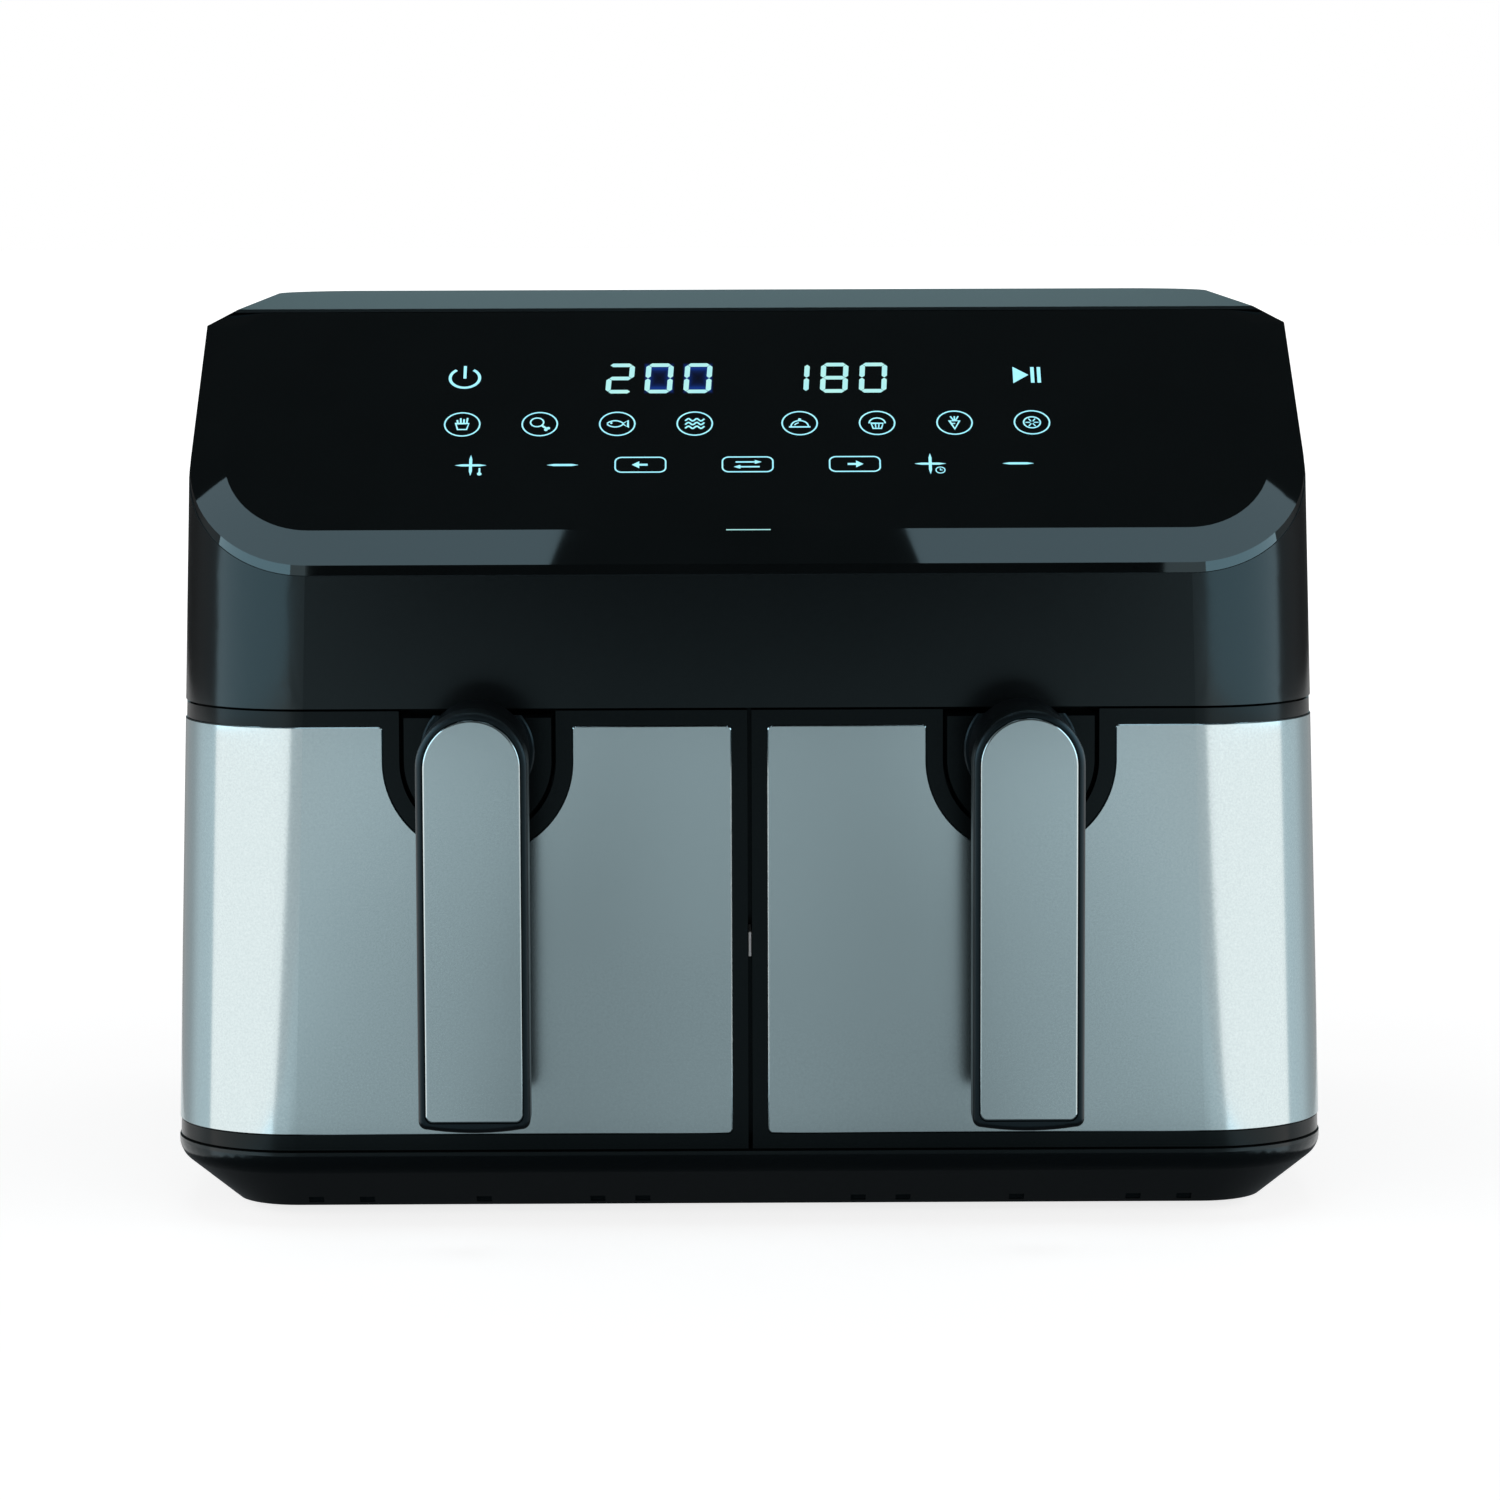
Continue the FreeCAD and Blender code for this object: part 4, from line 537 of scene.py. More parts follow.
def fan_aluminium():
    """Pressed aluminium with faint rolling lines."""
    material, tree, shader = new_finish("fan_aluminium_look", ALUMINIUM_LOW, roughness=0.32, metallic=1.0)
    rolled = noise(tree, scale=900.0, detail=3.0, stretch=(0.05, 1.0, 1.0))
    set_colour(tree, shader, tint(tree, rolled, ALUMINIUM_LOW, ALUMINIUM_HIGH))
    set_roughness(tree, shader, rolled, low=0.26, high=0.40)
    return material


def switch_plastic():
    """Dark moulded switch and fan plastic."""
    material, tree, shader = new_finish("switch_plastic_look", SWITCH_LOW, roughness=0.42, specular=0.4)
    clouds = noise(tree, scale=90.0, detail=3.0)
    set_colour(tree, shader, tint(tree, clouds, SWITCH_LOW, SWITCH_HIGH))
    set_roughness(tree, shader, clouds, low=0.36, high=0.50)
    return material


def pale_plastic():
    """Pale moulded plastic with a soft grain."""
    material, tree, shader = new_finish("pale_plastic_look", PALE_LOW, roughness=0.4, specular=0.4)
    clouds = noise(tree, scale=120.0, detail=3.0)
    set_colour(tree, shader, tint(tree, clouds, PALE_LOW, PALE_HIGH))
    set_roughness(tree, shader, clouds, low=0.34, high=0.48)
    return material


def circuit_board():
    """Green solder resist over a net of traces."""
    material, tree, shader = new_finish("circuit_board_look", BOARD_GREEN, roughness=0.3, specular=0.5)
    traces = tree.nodes.new("ShaderNodeTexBrick")
    traces.inputs["Scale"].default_value = 160.0
    traces.inputs["Color1"].default_value = (*BOARD_GREEN, 1.0)
    traces.inputs["Color2"].default_value = (*BOARD_GREEN, 1.0)
    traces.inputs["Mortar"].default_value = (*BOARD_TRACE, 1.0)
    traces.inputs["Mortar Size"].default_value = 0.05
    tree.links.new(object_point(tree, EVEN), traces.inputs["Vector"])
    set_colour(tree, shader, traces.outputs["Color"])
    set_roughness(tree, shader, noise(tree, scale=300.0), low=0.24, high=0.38)
    return material


def display_module():
    """Dark cast resin of the digit modules."""
    material, tree, shader = new_finish("display_module_look", MODULE_LOW, roughness=0.25, specular=0.5)
    clouds = noise(tree, scale=140.0, detail=2.0)
    set_colour(tree, shader, tint(tree, clouds, MODULE_LOW, MODULE_HIGH))
    set_roughness(tree, shader, clouds, low=0.20, high=0.32)
    return material


def silicone():
    """Soft matte silicone of the plate bumpers."""
    material, tree, shader = new_finish("silicone_look", SILICONE_LOW, roughness=0.55, specular=0.35)
    dust = noise(tree, scale=400.0, detail=4.0)
    set_colour(tree, shader, tint(tree, dust, SILICONE_LOW, SILICONE_HIGH))
    set_roughness(tree, shader, dust, low=0.48, high=0.64)
    return material


def rubber():
    """Matte rubber of the feet and the cord gland."""
    material, tree, shader = new_finish("rubber_look", RUBBER_LOW, roughness=0.65, specular=0.3)
    dust = noise(tree, scale=500.0, detail=4.0)
    set_colour(tree, shader, tint(tree, dust, RUBBER_LOW, RUBBER_HIGH))
    set_roughness(tree, shader, dust, low=0.56, high=0.74)
    set_bump(tree, shader, dust, depth=0.02)
    return material


FINISHES = (
    black_shell, black_frame, black_handle, gloss_panel, brushed_steel, nonstick, liner_steel, duct_steel,
    bright_steel, screw_steel, heater_tube, motor_iron, fan_aluminium, switch_plastic, pale_plastic,
    circuit_board, display_module, silicone, rubber,
)


def dress_nodes():
    """Every CAD node gets the finish of its own slot."""
    looks = {finish.__name__: finish() for finish in FINISHES}
    for row in frame["record"]["subparts"]:
        node = frame["nodes"][row["node"]]
        for slot in node.material_slots:
            slot.material = looks[row["material_slot"]]


def panel_plane():
    """The panel's frame: origin on its face over its lower edge, u across, v up the slope, w outwards."""
    panel = frame["nodes"]["control_panel"].data
    upper = [polygon for polygon in panel.polygons if polygon.normal.z > 0.0]
    face = max(upper, key=lambda polygon: polygon.area)
    outwards = face.normal.normalized()
    across = Vector((1.0, 0.0, 0.0))
    upwards = outwards.cross(across).normalized()
    corner = Vector(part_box("control_panel")[0])
    corner.x = 0.0
    on_face = panel.vertices[face.vertices[0]].co
    corner += outwards * outwards.dot(on_face - corner)
    turn = Matrix((across, upwards, outwards)).transposed().to_4x4()
    return Matrix.Translation(corner) @ turn


def points_at(mesh, outline, height):
    return [mesh.verts.new((u * MM, v * MM, height * MM)) for u, v in outline]


def patch(mesh, outline):
    """A flat raised shape with this outline."""
    top = points_at(mesh, outline, SIGN_RISE)
    low = points_at(mesh, outline, -SIGN_SINK)
    mesh.faces.new(top)
    mesh.faces.new(low[::-1])
    for k in range(len(top)):
        mesh.faces.new((top[k - 1], low[k - 1], low[k], top[k]))


def ribbon(mesh, points, width, closed=False):
    """A raised line of even width along these points."""
    count = len(points)
    rows = []
    for k in range(count):
        here = Vector(points[k])
        before = Vector(points[k - 1]) if closed or k > 0 else here
        after = Vector(points[(k + 1) % count]) if closed or k < count - 1 else here
        along = (after - before).normalized()
        leg = (after - here) if after != here else (here - before)
        miter = max(along.dot(leg.normalized()), SIGN_MITER)
        side = Vector((-along.y, along.x)) * (width / 2 / miter)
        left = here + side
        right = here - side
        corners = ((left, SIGN_RISE), (right, SIGN_RISE), (right, -SIGN_SINK), (left, -SIGN_SINK))
        rows.append([mesh.verts.new((p.x * MM, p.y * MM, h * MM)) for p, h in corners])
    follow = rows[1:] + rows[:1] if closed else rows[1:]
    for row, after in zip(rows, follow):
        for k in range(len(row)):
            mesh.faces.new((row[k - 1], row[k], after[k], after[k - 1]))
    if not closed:
        mesh.faces.new(rows[0])
        mesh.faces.new(rows[-1][::-1])


def arc(u, v, radius, start, end):
    """Points on an arc, in degrees."""
    steps = max(2, round(abs(end - start) / ARC_STEP))
    points = []
    for k in range(steps + 1):
        a = math.radians(start + (end - start) * k / steps)
        points.append((u + radius * math.cos(a), v + radius * math.sin(a)))
    return points


def ring(u, v, radius):
    """Points round a circle, which end a step before the first."""
    return arc(u, v, radius, start=0.0, end=RING_END)


def circle(mesh, u, v, radius, width):
    ribbon(mesh, ring(u, v, radius), width, closed=True)


def dot(mesh, u, v, radius):
    patch(mesh, ring(u, v, radius))


def shifted(points, u, v):
    return [(u + a, v + b) for a, b in points]


def rounded_box(u, v, width, height, radius):
    """Outline of a box with rounded corners."""
    half_w = width / 2 - radius
    half_h = height / 2 - radius
    outline = []
    for quarter, (a, b) in enumerate(((1, 1), (-1, 1), (-1, -1), (1, -1))):
        start = QUARTER * quarter
        outline += arc(u + a * half_w, v + b * half_h, radius, start, start + QUARTER)
    return outline


def new_piece(mesh, name, look):
    """A finished mesh as an object with one look."""
    data = bpy.data.meshes.new(name)
    mesh.to_mesh(data)
    mesh.free()
    data.materials.append(look)
    piece = bpy.data.objects.new(name, data)
    bpy.context.scene.collection.objects.link(piece)
    return piece


def place_sign(mesh, name, look):
    """Lays the finished relief on the panel as a piece of its own."""
    bmesh.ops.recalc_face_normals(mesh, faces=mesh.faces)
    piece = new_piece(mesh, name, look)
    piece.matrix_world = panel_plane()
    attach(piece, "housing")
    return piece


def lit_sign(name, light, edge, level):
    """Backlit print: dark ink that glows, a little unevenly; the ridge's painted highlight is made with the
    same glow.
    """
    material, tree, shader = new_finish(name, PANEL_BLACK, roughness=0.2)
    uneven = noise(tree, scale=170.0, detail=2.0)
    tree.links.new(tint(tree, uneven, edge, light), shader.inputs["Emission Color"])
    shader.inputs["Emission Strength"].default_value = level
    return material


SEGMENTS = {
    "0": "abcdef",
    "1": "bc",
    "2": "abged",
    "8": "abcdefg",
}


def segment_shape(key):
    """Outline of one of the seven bars, in a cell with its middle at zero."""
    half_w = DIGIT_WIDTH / 2 - DIGIT_STROKE / 2
    half_h = DIGIT_HEIGHT / 2 - DIGIT_STROKE / 2
    ends = {
        "a": ((-half_w, half_h), (half_w, half_h)),
        "b": ((half_w, 0.0), (half_w, half_h)),
        "c": ((half_w, -half_h), (half_w, 0.0)),
        "d": ((-half_w, -half_h), (half_w, -half_h)),
        "e": ((-half_w, -half_h), (-half_w, 0.0)),
        "f": ((-half_w, 0.0), (-half_w, half_h)),
        "g": ((-half_w, 0.0), (half_w, 0.0)),
    }
    start, end = (Vector(p) for p in ends[key])
    along = (end - start).normalized()
    half = DIGIT_STROKE / 2
    side = Vector((-along.y, along.x)) * half
    gap = along * DIGIT_GAP
    tip = along * half
    start = start + gap
    end = end - gap
    corners = (start, start + tip - side, end - tip - side, end, end - tip + side, start + tip + side)
    return [(p.x + DIGIT_SLANT * p.y, p.y) for p in corners]


def draw_digits(mesh, text, first_u):
    for place, sign in enumerate(text):
        for key in SEGMENTS[sign]:
            patch(mesh, shifted(segment_shape(key), first_u + place * DIGIT_PITCH, DIGIT_V))


def make_digits():
    mesh = bmesh.new()
    draw_digits(mesh, LEFT_READING, -DIGIT_FIRST_U - (len(LEFT_READING) - 1) * DIGIT_PITCH)
    draw_digits(mesh, RIGHT_READING, DIGIT_FIRST_U)
    place_sign(mesh, "panel_digits", lit_sign("digit_light", DIGIT_LIGHT, DIGIT_EDGE, DIGIT_LEVEL))


def glow_look():
    """Blue light that bleeds into the panel from a bright digit's strokes."""
    material, tree, shader = new_finish("digit_glow", PANEL_BLACK, roughness=0.06)
    coords = tree.nodes.new("ShaderNodeTexCoord")
    centre = tree.nodes.new("ShaderNodeVectorMath")
    centre.operation = "SUBTRACT"
    centre.inputs[1].default_value = (0.5, 0.5, 0.5)
    size = tree.nodes.new("ShaderNodeVectorMath")
    size.operation = "ABSOLUTE"
    tree.links.new(coords.outputs["Generated"], centre.inputs[0])
    tree.links.new(centre.outputs["Vector"], size.inputs[0])
    away = axes(tree, size.outputs["Vector"])
    edge = reckon(tree, "MAXIMUM", away["X"], away["Y"])
    shader.inputs["Emission Color"].default_value = (*GLOW_BLUE, 1.0)
    tree.links.new(profile(tree, edge, GLOW_STOPS), shader.inputs["Emission Strength"])
    return material


def make_glow():
    """Glows under the zeros of the left reading."""
    look = glow_look()
    sink = Matrix.Translation((0.0, 0.0, -SIGN_RISE * GLOW_SINK_SHARE * MM))
    width = DIGIT_WIDTH + GLOW_BESIDE
    height = DIGIT_HEIGHT + GLOW_ABOVE
    for place in range(GLOW_COUNT):
        mesh = bmesh.new()
        u = -DIGIT_FIRST_U - place * DIGIT_PITCH
        patch(mesh, rounded_box(u, DIGIT_V, width, height, GLOW_RADIUS))
        piece = place_sign(mesh, f"digit_glow_{place + 1}", look)
        piece.matrix_world = piece.matrix_world @ sink


def draw_power(mesh):
    """Ring open at the top, with its bar."""
    start, end = POWER_ARC
    low, high = POWER_BAR
    ribbon(mesh, arc(POWER_U, TOUCH_V - POWER_DROP, POWER_RADIUS, start, end), POWER_LINE)
    ribbon(mesh, [(POWER_U, TOUCH_V + low), (POWER_U, TOUCH_V + high)], POWER_LINE)


def draw_play(mesh):
    """Triangle and two bars."""
    patch(mesh, shifted(PLAY_TRIANGLE, PLAY_U, TOUCH_V))
    for u in PLAY_BARS:
        left = u - PLAY_BAR_HALF
        right = u + PLAY_BAR_HALF
        foot = [(left, -PLAY_BAR_REACH), (right, -PLAY_BAR_REACH)]
        head = [(right, PLAY_BAR_REACH), (left, PLAY_BAR_REACH)]
        patch(mesh, shifted(foot + head, PLAY_U, TOUCH_V))


def draw_minus(mesh, u):
    """Bar with drawn-out ends."""
    reach = KEY_SIZE / 2
    waist = reach - KEY_TAPER
    half = KEY_STROKE / 2
    upper = [(waist, half), (-waist, half)]
    lower = [(-waist, -half), (waist, -half)]
    patch(mesh, shifted([(-reach, 0.0), *lower, (reach, 0.0), *upper], u, KEY_V))


def draw_plus(mesh, u):
    """Two crossed bars with drawn-out ends."""
    reach = KEY_SIZE / 2
    waist = reach - KEY_TAPER
    half = KEY_STROKE / 2
    foot = half + KEY_GAP
    draw_minus(mesh, u)
    for way in (1, -1):
        base = [(-half, way * foot), (half, way * foot)]
        point = [(half, way * waist), (0.0, way * reach), (-half, way * waist)]
        patch(mesh, shifted((base + point)[::way], u, KEY_V))


def draw_thermometer(mesh, u, v):
    stem = [(0.0, -0.4), (0.0, 1.9)]
    ribbon(mesh, shifted(stem, u, v), ICON_BOLD)
    dot(mesh, u, v - 1.0, radius=0.75)


def draw_clock(mesh, u, v):
    hands = [(0.0, 0.9), (0.0, 0.0), (0.7, 0.0)]
    circle(mesh, u, v, radius=1.5, width=0.35)
    ribbon(mesh, shifted(hands, u, v), width=0.3)


def draw_arrow(mesh, u, v, way, tail, neck, tip, half, width):
    """Arrow that points to one side."""
    shaft = [(tail * way, 0.0), ((neck + ARROW_LAP) * way, 0.0)]
    head = [(neck * way, -half), (tip * way, 0.0), (neck * way, half)]
    ribbon(mesh, shifted(shaft, u, v), width)
    patch(mesh, shifted(head[::way], u, v))


def draw_box(mesh, u):
    outline = rounded_box(u, KEY_V, BOX_WIDTH, BOX_HEIGHT, BOX_RADIUS)
    ribbon(mesh, outline, BOX_LINE, closed=True)


def draw_boxes(mesh):
    """Two side keys and the key that joins them."""
    for _, way in SIDES:
        draw_box(mesh, way * BOX_U)
        draw_arrow(mesh, way * BOX_U, KEY_V, way, **SIDE_ARROW)
    draw_box(mesh, 0.0)
    for way in (1, -1):
        draw_arrow(mesh, 0.0, KEY_V + way * JOIN_V, way, **JOIN_ARROW)


def make_symbols():
    mesh = bmesh.new()
    draw_power(mesh)
    draw_play(mesh)
    draw_boxes(mesh)
    for u in PLUS_U:
        draw_plus(mesh, u)
    for u in MINUS_U:
        draw_minus(mesh, u)
    draw_thermometer(mesh, PLUS_U[0] + THERMOMETER_ASIDE, KEY_V - THERMOMETER_DOWN)
    draw_clock(mesh, PLUS_U[1] + CLOCK_ASIDE, KEY_V - CLOCK_DOWN)
    place_sign(mesh, "panel_symbols", lit_sign("symbol_light", ICON_LIGHT, ICON_EDGE, ICON_LEVEL))


def draw_fries(mesh, u, v):
    cup = [(-2.2, 0.4), (-1.5, -2.6), (1.5, -2.6), (2.2, 0.4)]
    foot = 0.6
    splay = 1.15
    ribbon(mesh, shifted(cup, u, v), ICON_LINE, closed=True)
    for a, tip in ((-1.5, 2.2), (-0.5, 3.1), (0.5, 2.6), (1.5, 3.2)):
        ribbon(mesh, shifted([(a, foot), (a * splay, tip)], u, v), ICON_BOLD)


def draw_drumstick(mesh, u, v):
    bone = [(0.7, -0.7), (2.2, -2.2)]
    circle(mesh, u - 0.9, v + 0.9, radius=2.2, width=ICON_LINE)
    ribbon(mesh, shifted(bone, u, v), width=0.8)
    for a, b in ((2.1, -2.9), (2.9, -2.1)):
        dot(mesh, u + a, v + b, radius=0.6)


def draw_fish(mesh, u, v):
    middle = u - 0.7
    rise = 1.7
    bend = 3.3
    tail = [(1.9, 0.1), (3.6, 1.7), (3.6, -1.7), (1.9, -0.1)]
    ribbon(mesh, arc(middle, v - rise, bend, start=35.0, end=145.0), ICON_LINE)
    ribbon(mesh, arc(middle, v + rise, bend, start=215.0, end=325.0), ICON_LINE)
    ribbon(mesh, shifted(tail, u, v), ICON_LINE)
    dot(mesh, u - 2.0, v + 0.4, radius=0.4)


def draw_rashers(mesh, u, v):
    step = 0.4
    swing = 0.6
    turn = 0.9
    for row in (-1.9, 0.0, 1.9):
        wave = [(a * step, row + swing * math.sin(a * turn)) for a in range(-8, 9)]
        ribbon(mesh, shifted(wave, u, v), ICON_BOLD)


def draw_roast(mesh, u, v):
    middle = v - 1.6
    plate = [(-3.6, -1.9), (3.6, -1.9)]
    ribbon(mesh, arc(u, middle, radius=2.9, start=0.0, end=180.0), ICON_LINE)
    ribbon(mesh, shifted(plate, u, v), ICON_BOLD)
    dot(mesh, u, v + 1.9, radius=0.55)
    ribbon(mesh, arc(u, middle, radius=1.8, start=100.0, end=160.0), ICON_FINE)


def draw_muffin(mesh, u, v):
    cup = [(-2.0, -0.2), (-1.4, -2.8), (1.4, -2.8), (2.0, -0.2)]
    ribbon(mesh, shifted(cup, u, v), ICON_LINE, closed=True)
    ribbon(mesh, arc(u, v - 0.2, radius=2.7, start=0.0, end=180.0), ICON_LINE)
    for _, way in SIDES:
        pleat = [(way * 0.6, -0.6), (way * 0.48, -2.4)]
        ribbon(mesh, shifted(pleat, u, v), ICON_FINE)


def draw_carrot(mesh, u, v):
    root = [(-1.7, 0.9), (1.7, 0.9), (0.0, -3.2)]
    crease = [(-0.9, -0.4), (0.2, -0.4)]
    ribbon(mesh, shifted(root, u, v), ICON_LINE, closed=True)
    for way in (-1, 0, 1):
        leaf = [(way * 0.39, 1.2), (way * 1.3, 3.2)]
        ribbon(mesh, shifted(leaf, u, v), ICON_LINE)
    ribbon(mesh, shifted(crease, u, v), ICON_FINE)


def draw_slice(mesh, u, v):
    spokes = 6
    circle(mesh, u, v, radius=2.8, width=ICON_LINE)
    for k in range(spokes):
        a = math.tau * k / spokes
        spoke = [(r * math.cos(a), r * math.sin(a)) for r in (0.6, 2.2)]
        ribbon(mesh, shifted(spoke, u, v), ICON_FINE)


PICTOGRAMS = (
    draw_fries, draw_drumstick, draw_fish, draw_rashers, draw_roast, draw_muffin, draw_carrot, draw_slice,
)


def make_pictograms():
    """Eight round keys with plain food pictures of this part's own."""
    mesh = bmesh.new()
    half = len(PICTOGRAMS) // 2
    for place, picture in enumerate(PICTOGRAMS):
        step = place - half if place >= half else place - half + 1
        u = math.copysign(ICON_FIRST_U, 1 if place >= half else -1) + step * ICON_PITCH
        circle(mesh, u, ICON_V, ICON_RADIUS, ICON_LINE)
        picture(mesh, u, ICON_V)
    place_sign(mesh, "panel_pictograms", lit_sign("pictogram_light", ICON_LIGHT, ICON_EDGE, ICON_LEVEL))


def make_ridge_highlight():
    """Thin glowing line at the middle of the panel's lower ridge: a painted highlight that glows in place of
    the light the ridge catches.
    """
    mesh = bmesh.new()
    half = RIDGE_HIGHLIGHT_LENGTH / 2
    ribbon(mesh, [(-half, RIDGE_HIGHLIGHT_V), (half, RIDGE_HIGHLIGHT_V)], RIDGE_HIGHLIGHT_LINE)
    place_sign(mesh, "panel_painted_highlight", lit_sign("ridge_highlight_glow", DIGIT_LIGHT, DIGIT_EDGE, RIDGE_HIGHLIGHT_LEVEL))


def turned(degrees, axis):
    """A turn about one axis."""
    return Matrix.Rotation(math.radians(degrees), MATRIX_SIZE, axis)


def make_camera():
    data = bpy.data.cameras.new("camera")
    data.lens = CAMERA_LENS
    camera = bpy.data.objects.new("camera", data)
    bpy.context.scene.collection.objects.link(camera)
    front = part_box("steel_skin_left")[0].y
    place = Matrix.Translation((CAMERA_X, front - CAMERA_AHEAD, CAMERA_HEIGHT))
    tilt = turned(LEVEL_AHEAD - CAMERA_PITCH, "X")
    camera.matrix_world = place @ turned(CAMERA_YAW, "Z") @ tilt @ turned(CAMERA_ROLL, "Z")
    bpy.context.scene.camera = camera


def area_light(name, centre, turn, size, level, colour):
    """A soft box of even brightness, where a level of 1 is white."""
    data = bpy.data.lights.new(name, "AREA")
    data.shape = "RECTANGLE"
    data.size, data.size_y = size
    data.energy = LAMP_WATTS_PER_AREA * size[0] * size[1] * level
    data.color = colour
    light = bpy.data.objects.new(name, data)
    bpy.context.scene.collection.objects.link(light)
    light.matrix_world = Matrix.Translation(centre) @ turn
    light.visible_camera = False


def make_lights():
    """A soft box above each half and ahead of it, with a gap over the middle."""
    size = (OVERHEAD_WIDTH, OVERHEAD_DEPTH)
    for side, way in SIDES:
        turn = turned(way * OVERHEAD_TURN, "Z")
        corner = Vector((way * OVERHEAD_GAP, OVERHEAD_BACK, OVERHEAD_Z))
        reach = Vector((way * OVERHEAD_WIDTH / 2, -OVERHEAD_DEPTH / 2, 0.0))
        centre = corner + turn.to_3x3() @ reach
        area_light(f"overhead_{side}", centre, turn, size, OVERHEAD_LEVEL, LIGHT_COOL)


def seen_rays(tree):
    """One for rays from the camera or off gloss and glass, otherwise nothing."""
    path = tree.nodes.new("ShaderNodeLightPath")
    total = path.outputs["Is Camera Ray"]
    for name in ("Is Glossy Ray", "Is Transmission Ray"):
        total = reckon(tree, "ADD", total, path.outputs[name], clamp=True)
    return total


def floor_glow(tree):
    """How much the floor glows: less near the object, so that its shadow shows."""
    reach = tree.nodes.new("ShaderNodeVectorMath")
    reach.operation = "LENGTH"
    tree.links.new(object_point(tree, EVEN), reach.inputs[0])
    return spread(tree, reach.outputs["Value"], low=FLOOR_GLOW, high=1.0, start=FLOOR_NEAR, end=FLOOR_FAR)


def floor_finish():
    """Pale matte floor that brightens away from the object, clear from below."""
    material = bpy.data.materials.new("floor_look")
    material.use_nodes = True
    tree = material.node_tree
    tree.nodes.clear()
    output = tree.nodes.new("ShaderNodeOutputMaterial")
    matte = tree.nodes.new("ShaderNodeBsdfDiffuse")
    matte.inputs["Color"].default_value = (*FLOOR_COLOUR, 1.0)
    glow = tree.nodes.new("ShaderNodeEmission")
    level = reckon(tree, "MULTIPLY", floor_glow(tree), seen_rays(tree))
    tree.links.new(level, glow.inputs["Strength"])
    both = tree.nodes.new("ShaderNodeAddShader")
    tree.links.new(matte.outputs["BSDF"], both.inputs[0])
    tree.links.new(glow.outputs["Emission"], both.inputs[1])
    facing = tree.nodes.new("ShaderNodeNewGeometry")
    clear = tree.nodes.new("ShaderNodeBsdfTransparent")
    choice = tree.nodes.new("ShaderNodeMixShader")
    tree.links.new(facing.outputs["Backfacing"], choice.inputs["Fac"])
    tree.links.new(both.outputs["Shader"], choice.inputs[1])
    tree.links.new(clear.outputs["BSDF"], choice.inputs[2])
    tree.links.new(choice.outputs["Shader"], output.inputs["Surface"])
    return material


def flat_mesh(corners):
    """One face through these corners."""
    mesh = bmesh.new()
    mesh.faces.new([mesh.verts.new(corner) for corner in corners])
    return mesh


def make_floor():
    a = FLOOR_HALF
    corners = ((-a, -a, 0.0), (a, -a, 0.0), (a, a, 0.0), (-a, a, 0.0))
    floor = new_piece(flat_mesh(corners), "floor", floor_finish())


def card_finish(name):
    """A card with no shine of its own."""
    return new_finish(name, CARD_BLACK, CARD_ROUGHNESS, specular=0.0)


def card_look(name, level, colour):
    """A card of even brightness."""
    material, _, shader = card_finish(name)
    shader.inputs["Emission Color"].default_value = (*colour, 1.0)
    shader.inputs["Emission Strength"].default_value = level
    return material


def graded_look(name, stops, aside_stops=None):
    """A card whose brightness changes from front to back, and from the middle to its sides."""
    material, tree, shader = card_finish(name)
    place = axes(tree, object_point(tree, EVEN))
    level = profile(tree, place["Y"], stops)
    if aside_stops:
        aside = reckon(tree, "ABSOLUTE", place["X"])
        level = reckon(tree, "MULTIPLY", level, profile(tree, aside, aside_stops))
    shader.inputs["Emission Color"].default_value = (*LIGHT_WHITE, 1.0)
    tree.links.new(level, shader.inputs["Emission Strength"])
    return material


def make_card(name, corners, look):
    """A card that only the gloss of the object sees."""
    card = new_piece(flat_mesh(corners), name, look)
    card.visible_camera = False
    card.visible_shadow = False
    card.visible_diffuse = False


def upright_card(name, x, outline, look):
    """A card that stands along Y, from its (y, z) corners."""
    make_card(name, [(x, y, z) for y, z in outline], look)


def make_boards():
    """Bright boards ahead of each side, whose fronts lean as the light in the steel does."""
    foot_look = card_look("foot_board_look", FOOT_BOARD_LEVEL, FOOT_BOARD_COLOUR)
    lower_look = card_look("lower_board_look", LOWER_BOARD_LEVEL, LOWER_BOARD_COLOUR)
    upper_look = card_look("upper_board_look", UPPER_BOARD_LEVEL, UPPER_BOARD_COLOUR)
    dim_look = card_look("dim_board_look", DIM_BOARD_LEVEL, DIM_BOARD_COLOUR)
    low, high = UPPER_BOARD_FRONT
    foot = (
        (BOARD_BACK, BOARD_FOOT), (FOOT_BOARD_FRONT, BOARD_FOOT),
        (FOOT_BOARD_FRONT, FOOT_BOARD_TOP), (BOARD_BACK, FOOT_BOARD_TOP),
    )
    lower = ((BOARD_BACK, FOOT_BOARD_TOP), *LOWER_BOARD_FRONT, (BOARD_BACK, BOARD_STEP))
    upper = ((BOARD_BACK, BOARD_STEP), (low, BOARD_STEP), (high, BOARD_TOP), (BOARD_BACK, BOARD_TOP))
    lower_dim = (*LOWER_BOARD_FRONT, (BOARD_END, BOARD_STEP), (BOARD_END, FOOT_BOARD_TOP))
    upper_dim = ((low, BOARD_STEP), (high, BOARD_TOP), (BOARD_END, BOARD_TOP), (BOARD_END, BOARD_STEP))
    for side, way in SIDES:
        x = way * BOARD_X
        upright_card(f"foot_board_{side}", x, foot, foot_look)
        upright_card(f"lower_board_{side}", x, lower, lower_look)
        upright_card(f"upper_board_{side}", x, upper, upper_look)
        upright_card(f"lower_dim_{side}", x, lower_dim, dim_look)
        upright_card(f"upper_dim_{side}", x, upper_dim, dim_look)


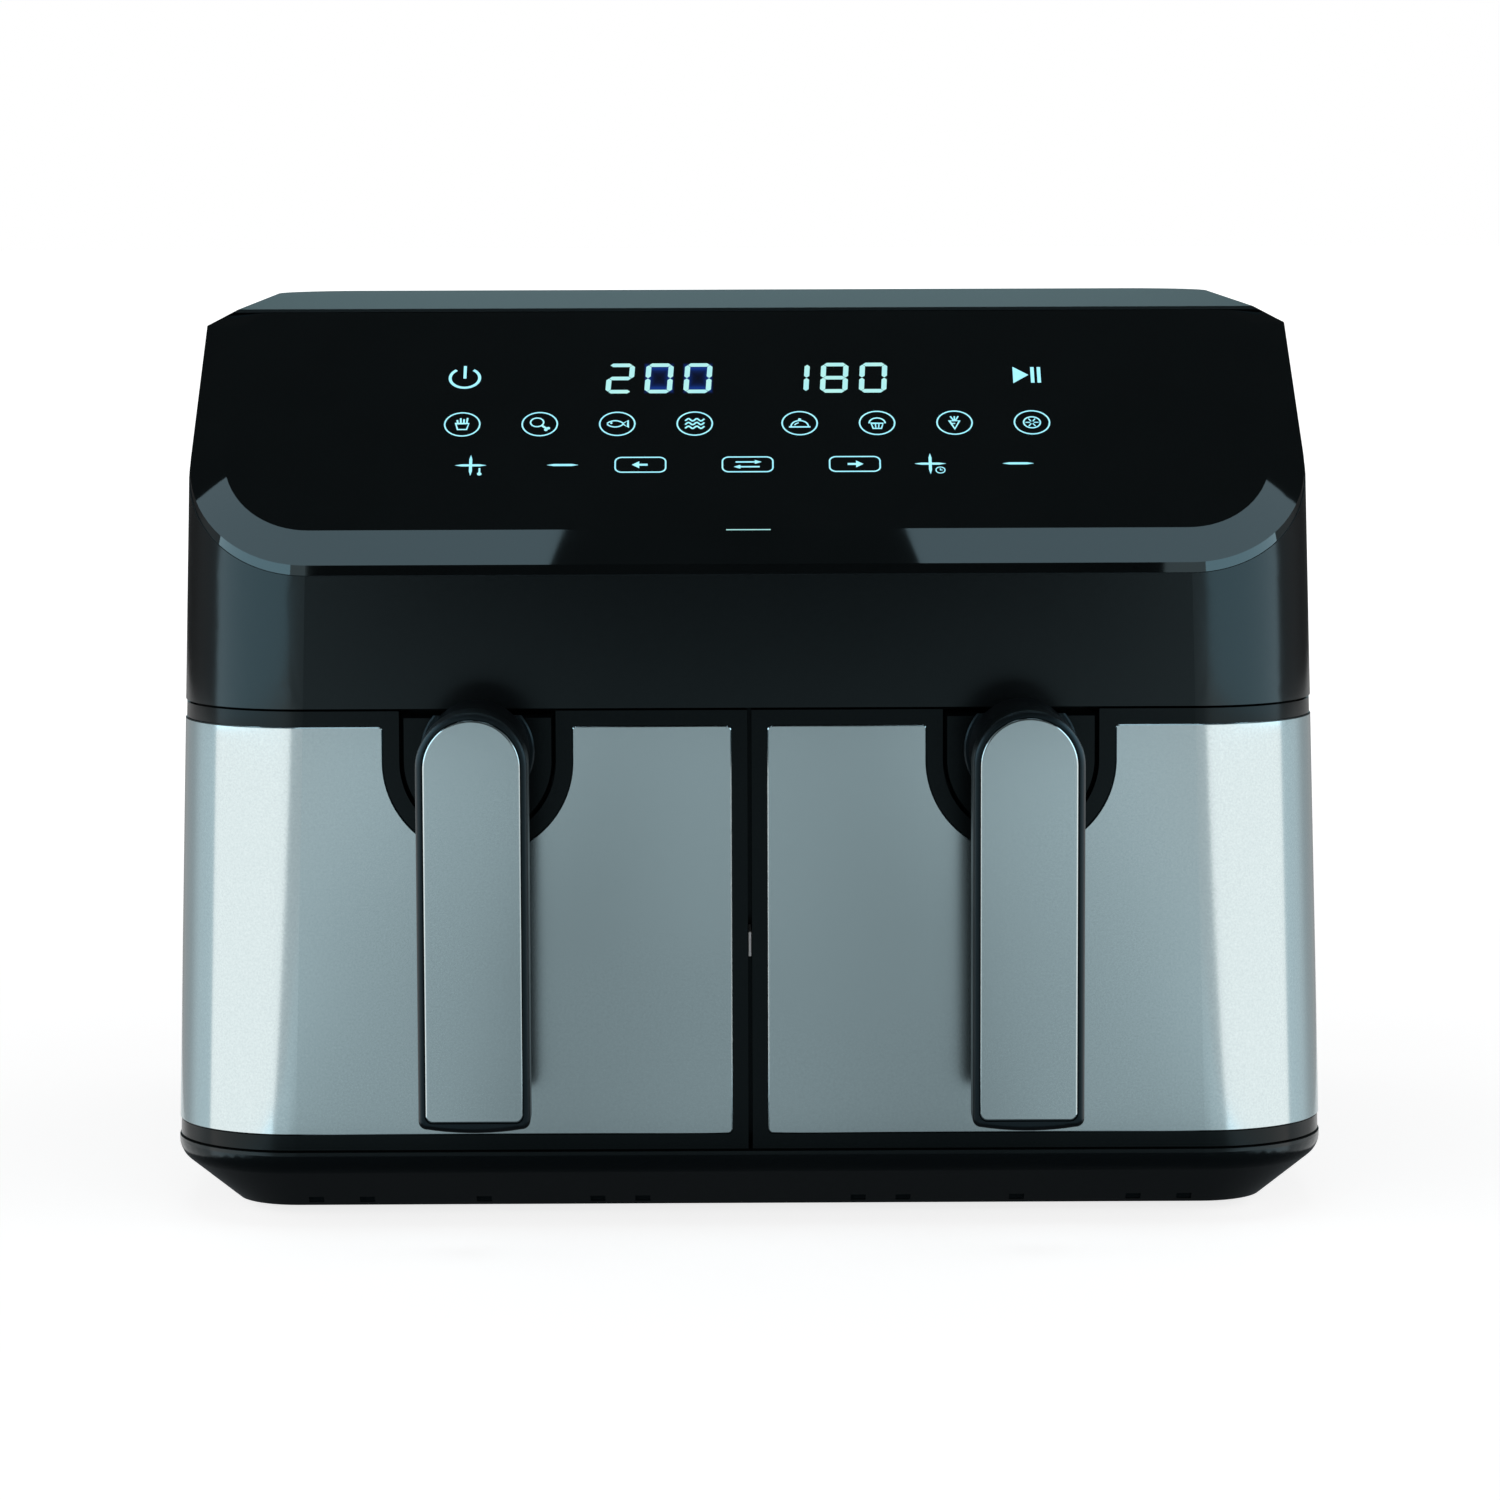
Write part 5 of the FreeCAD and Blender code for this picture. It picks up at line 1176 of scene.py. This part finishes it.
def make_side_cards():
    """Grey cards beyond the boards, darker above the seam."""
    look = graded_look("side_card_look", SIDE_CARD_STOPS)
    dark_look = graded_look("side_card_dark_look", SIDE_CARD_DARK_STOPS)
    y0 = SIDE_CARD_STOPS[0][0]
    y1 = SIDE_CARD_STOPS[-1][0]
    for side, way in SIDES:
        for name, low, high, finish in (
            ("lower", 0.0, SIDE_CARD_STEP, look),
            ("upper", SIDE_CARD_STEP, SIDE_CARD_TOP, dark_look),
        ):
            outline = ((y0, low), (y1, low), (y1, high), (y0, high))
            upright_card(f"{name}_side_card_{side}", way * SIDE_CARD_X, outline, finish)


def floor_card(name, half, y0, y1, look):
    """A card that lies just over the floor."""
    z = FLOOR_CARD_Z
    make_card(name, ((-half, y0, z), (half, y0, z), (half, y1, z), (-half, y1, z)), look)


def make_floor_cards():
    """Two graded cards ahead of the object, and a dark one round its foot."""
    for name, stops, aside in (
        ("far_card", FAR_CARD_STOPS, FAR_CARD_ASIDE), ("near_card", NEAR_CARD_STOPS, NEAR_CARD_ASIDE),
    ):
        look = graded_look(f"{name}_look", stops, aside)
        floor_card(name, FLOOR_CARD_HALF, stops[0][0], stops[-1][0], look)
    skirt_front = NEAR_CARD_STOPS[-1][0]
    look = card_look("skirt_look", SKIRT_LEVEL, LIGHT_COOL)
    floor_card("skirt_card", SKIRT_HALF, skirt_front, SKIRT_BACK, look)


def make_back_card():
    """A cool card behind the object, for the gloss of its top."""
    a = BACK_CARD_HALF
    y = BACK_CARD_Y
    look = card_look("back_card_look", BACK_CARD_LEVEL, BACK_CARD_COLOUR)
    make_card("back_card", ((-a, y, 0.0), (a, y, 0.0), (a, y, BACK_CARD_TOP), (-a, y, BACK_CARD_TOP)), look)


def make_lens_card():
    """A black card ahead of the camera, like a dark room round it."""
    (x0, y, z0), (x1, _, z1) = LENS_CARD
    look = card_finish("lens_card_look")[0]
    make_card("lens_card", ((x0, y, z0), (x1, y, z0), (x1, y, z1), (x0, y, z1)), look)


def make_cards():
    make_boards()
    make_side_cards()
    make_floor_cards()
    make_back_card()
    make_lens_card()


def make_world():
    """White round the horizon, dark overhead."""
    world = bpy.data.worlds.new("studio")
    bpy.context.scene.world = world
    world.use_nodes = True
    tree = world.node_tree
    back = tree.nodes["Background"]
    back.inputs["Color"].default_value = (*LIGHT_WHITE, 1.0)
    coords = tree.nodes.new("ShaderNodeTexCoord")
    height = axes(tree, coords.outputs["Generated"])["Z"]
    level = spread(tree, height, low=1.0, high=ZENITH_LEVEL, start=HORIZON_TOP, end=ZENITH_LOW)
    tree.links.new(level, back.inputs["Strength"])


def make_signs():
    make_glow()
    make_digits()
    make_symbols()
    make_pictograms()
    make_ridge_highlight()


make_camera()
dress_nodes()
make_signs()
make_lights()
make_floor()
make_cards()
make_world()
bpy.context.scene.view_settings.view_transform = "Standard"
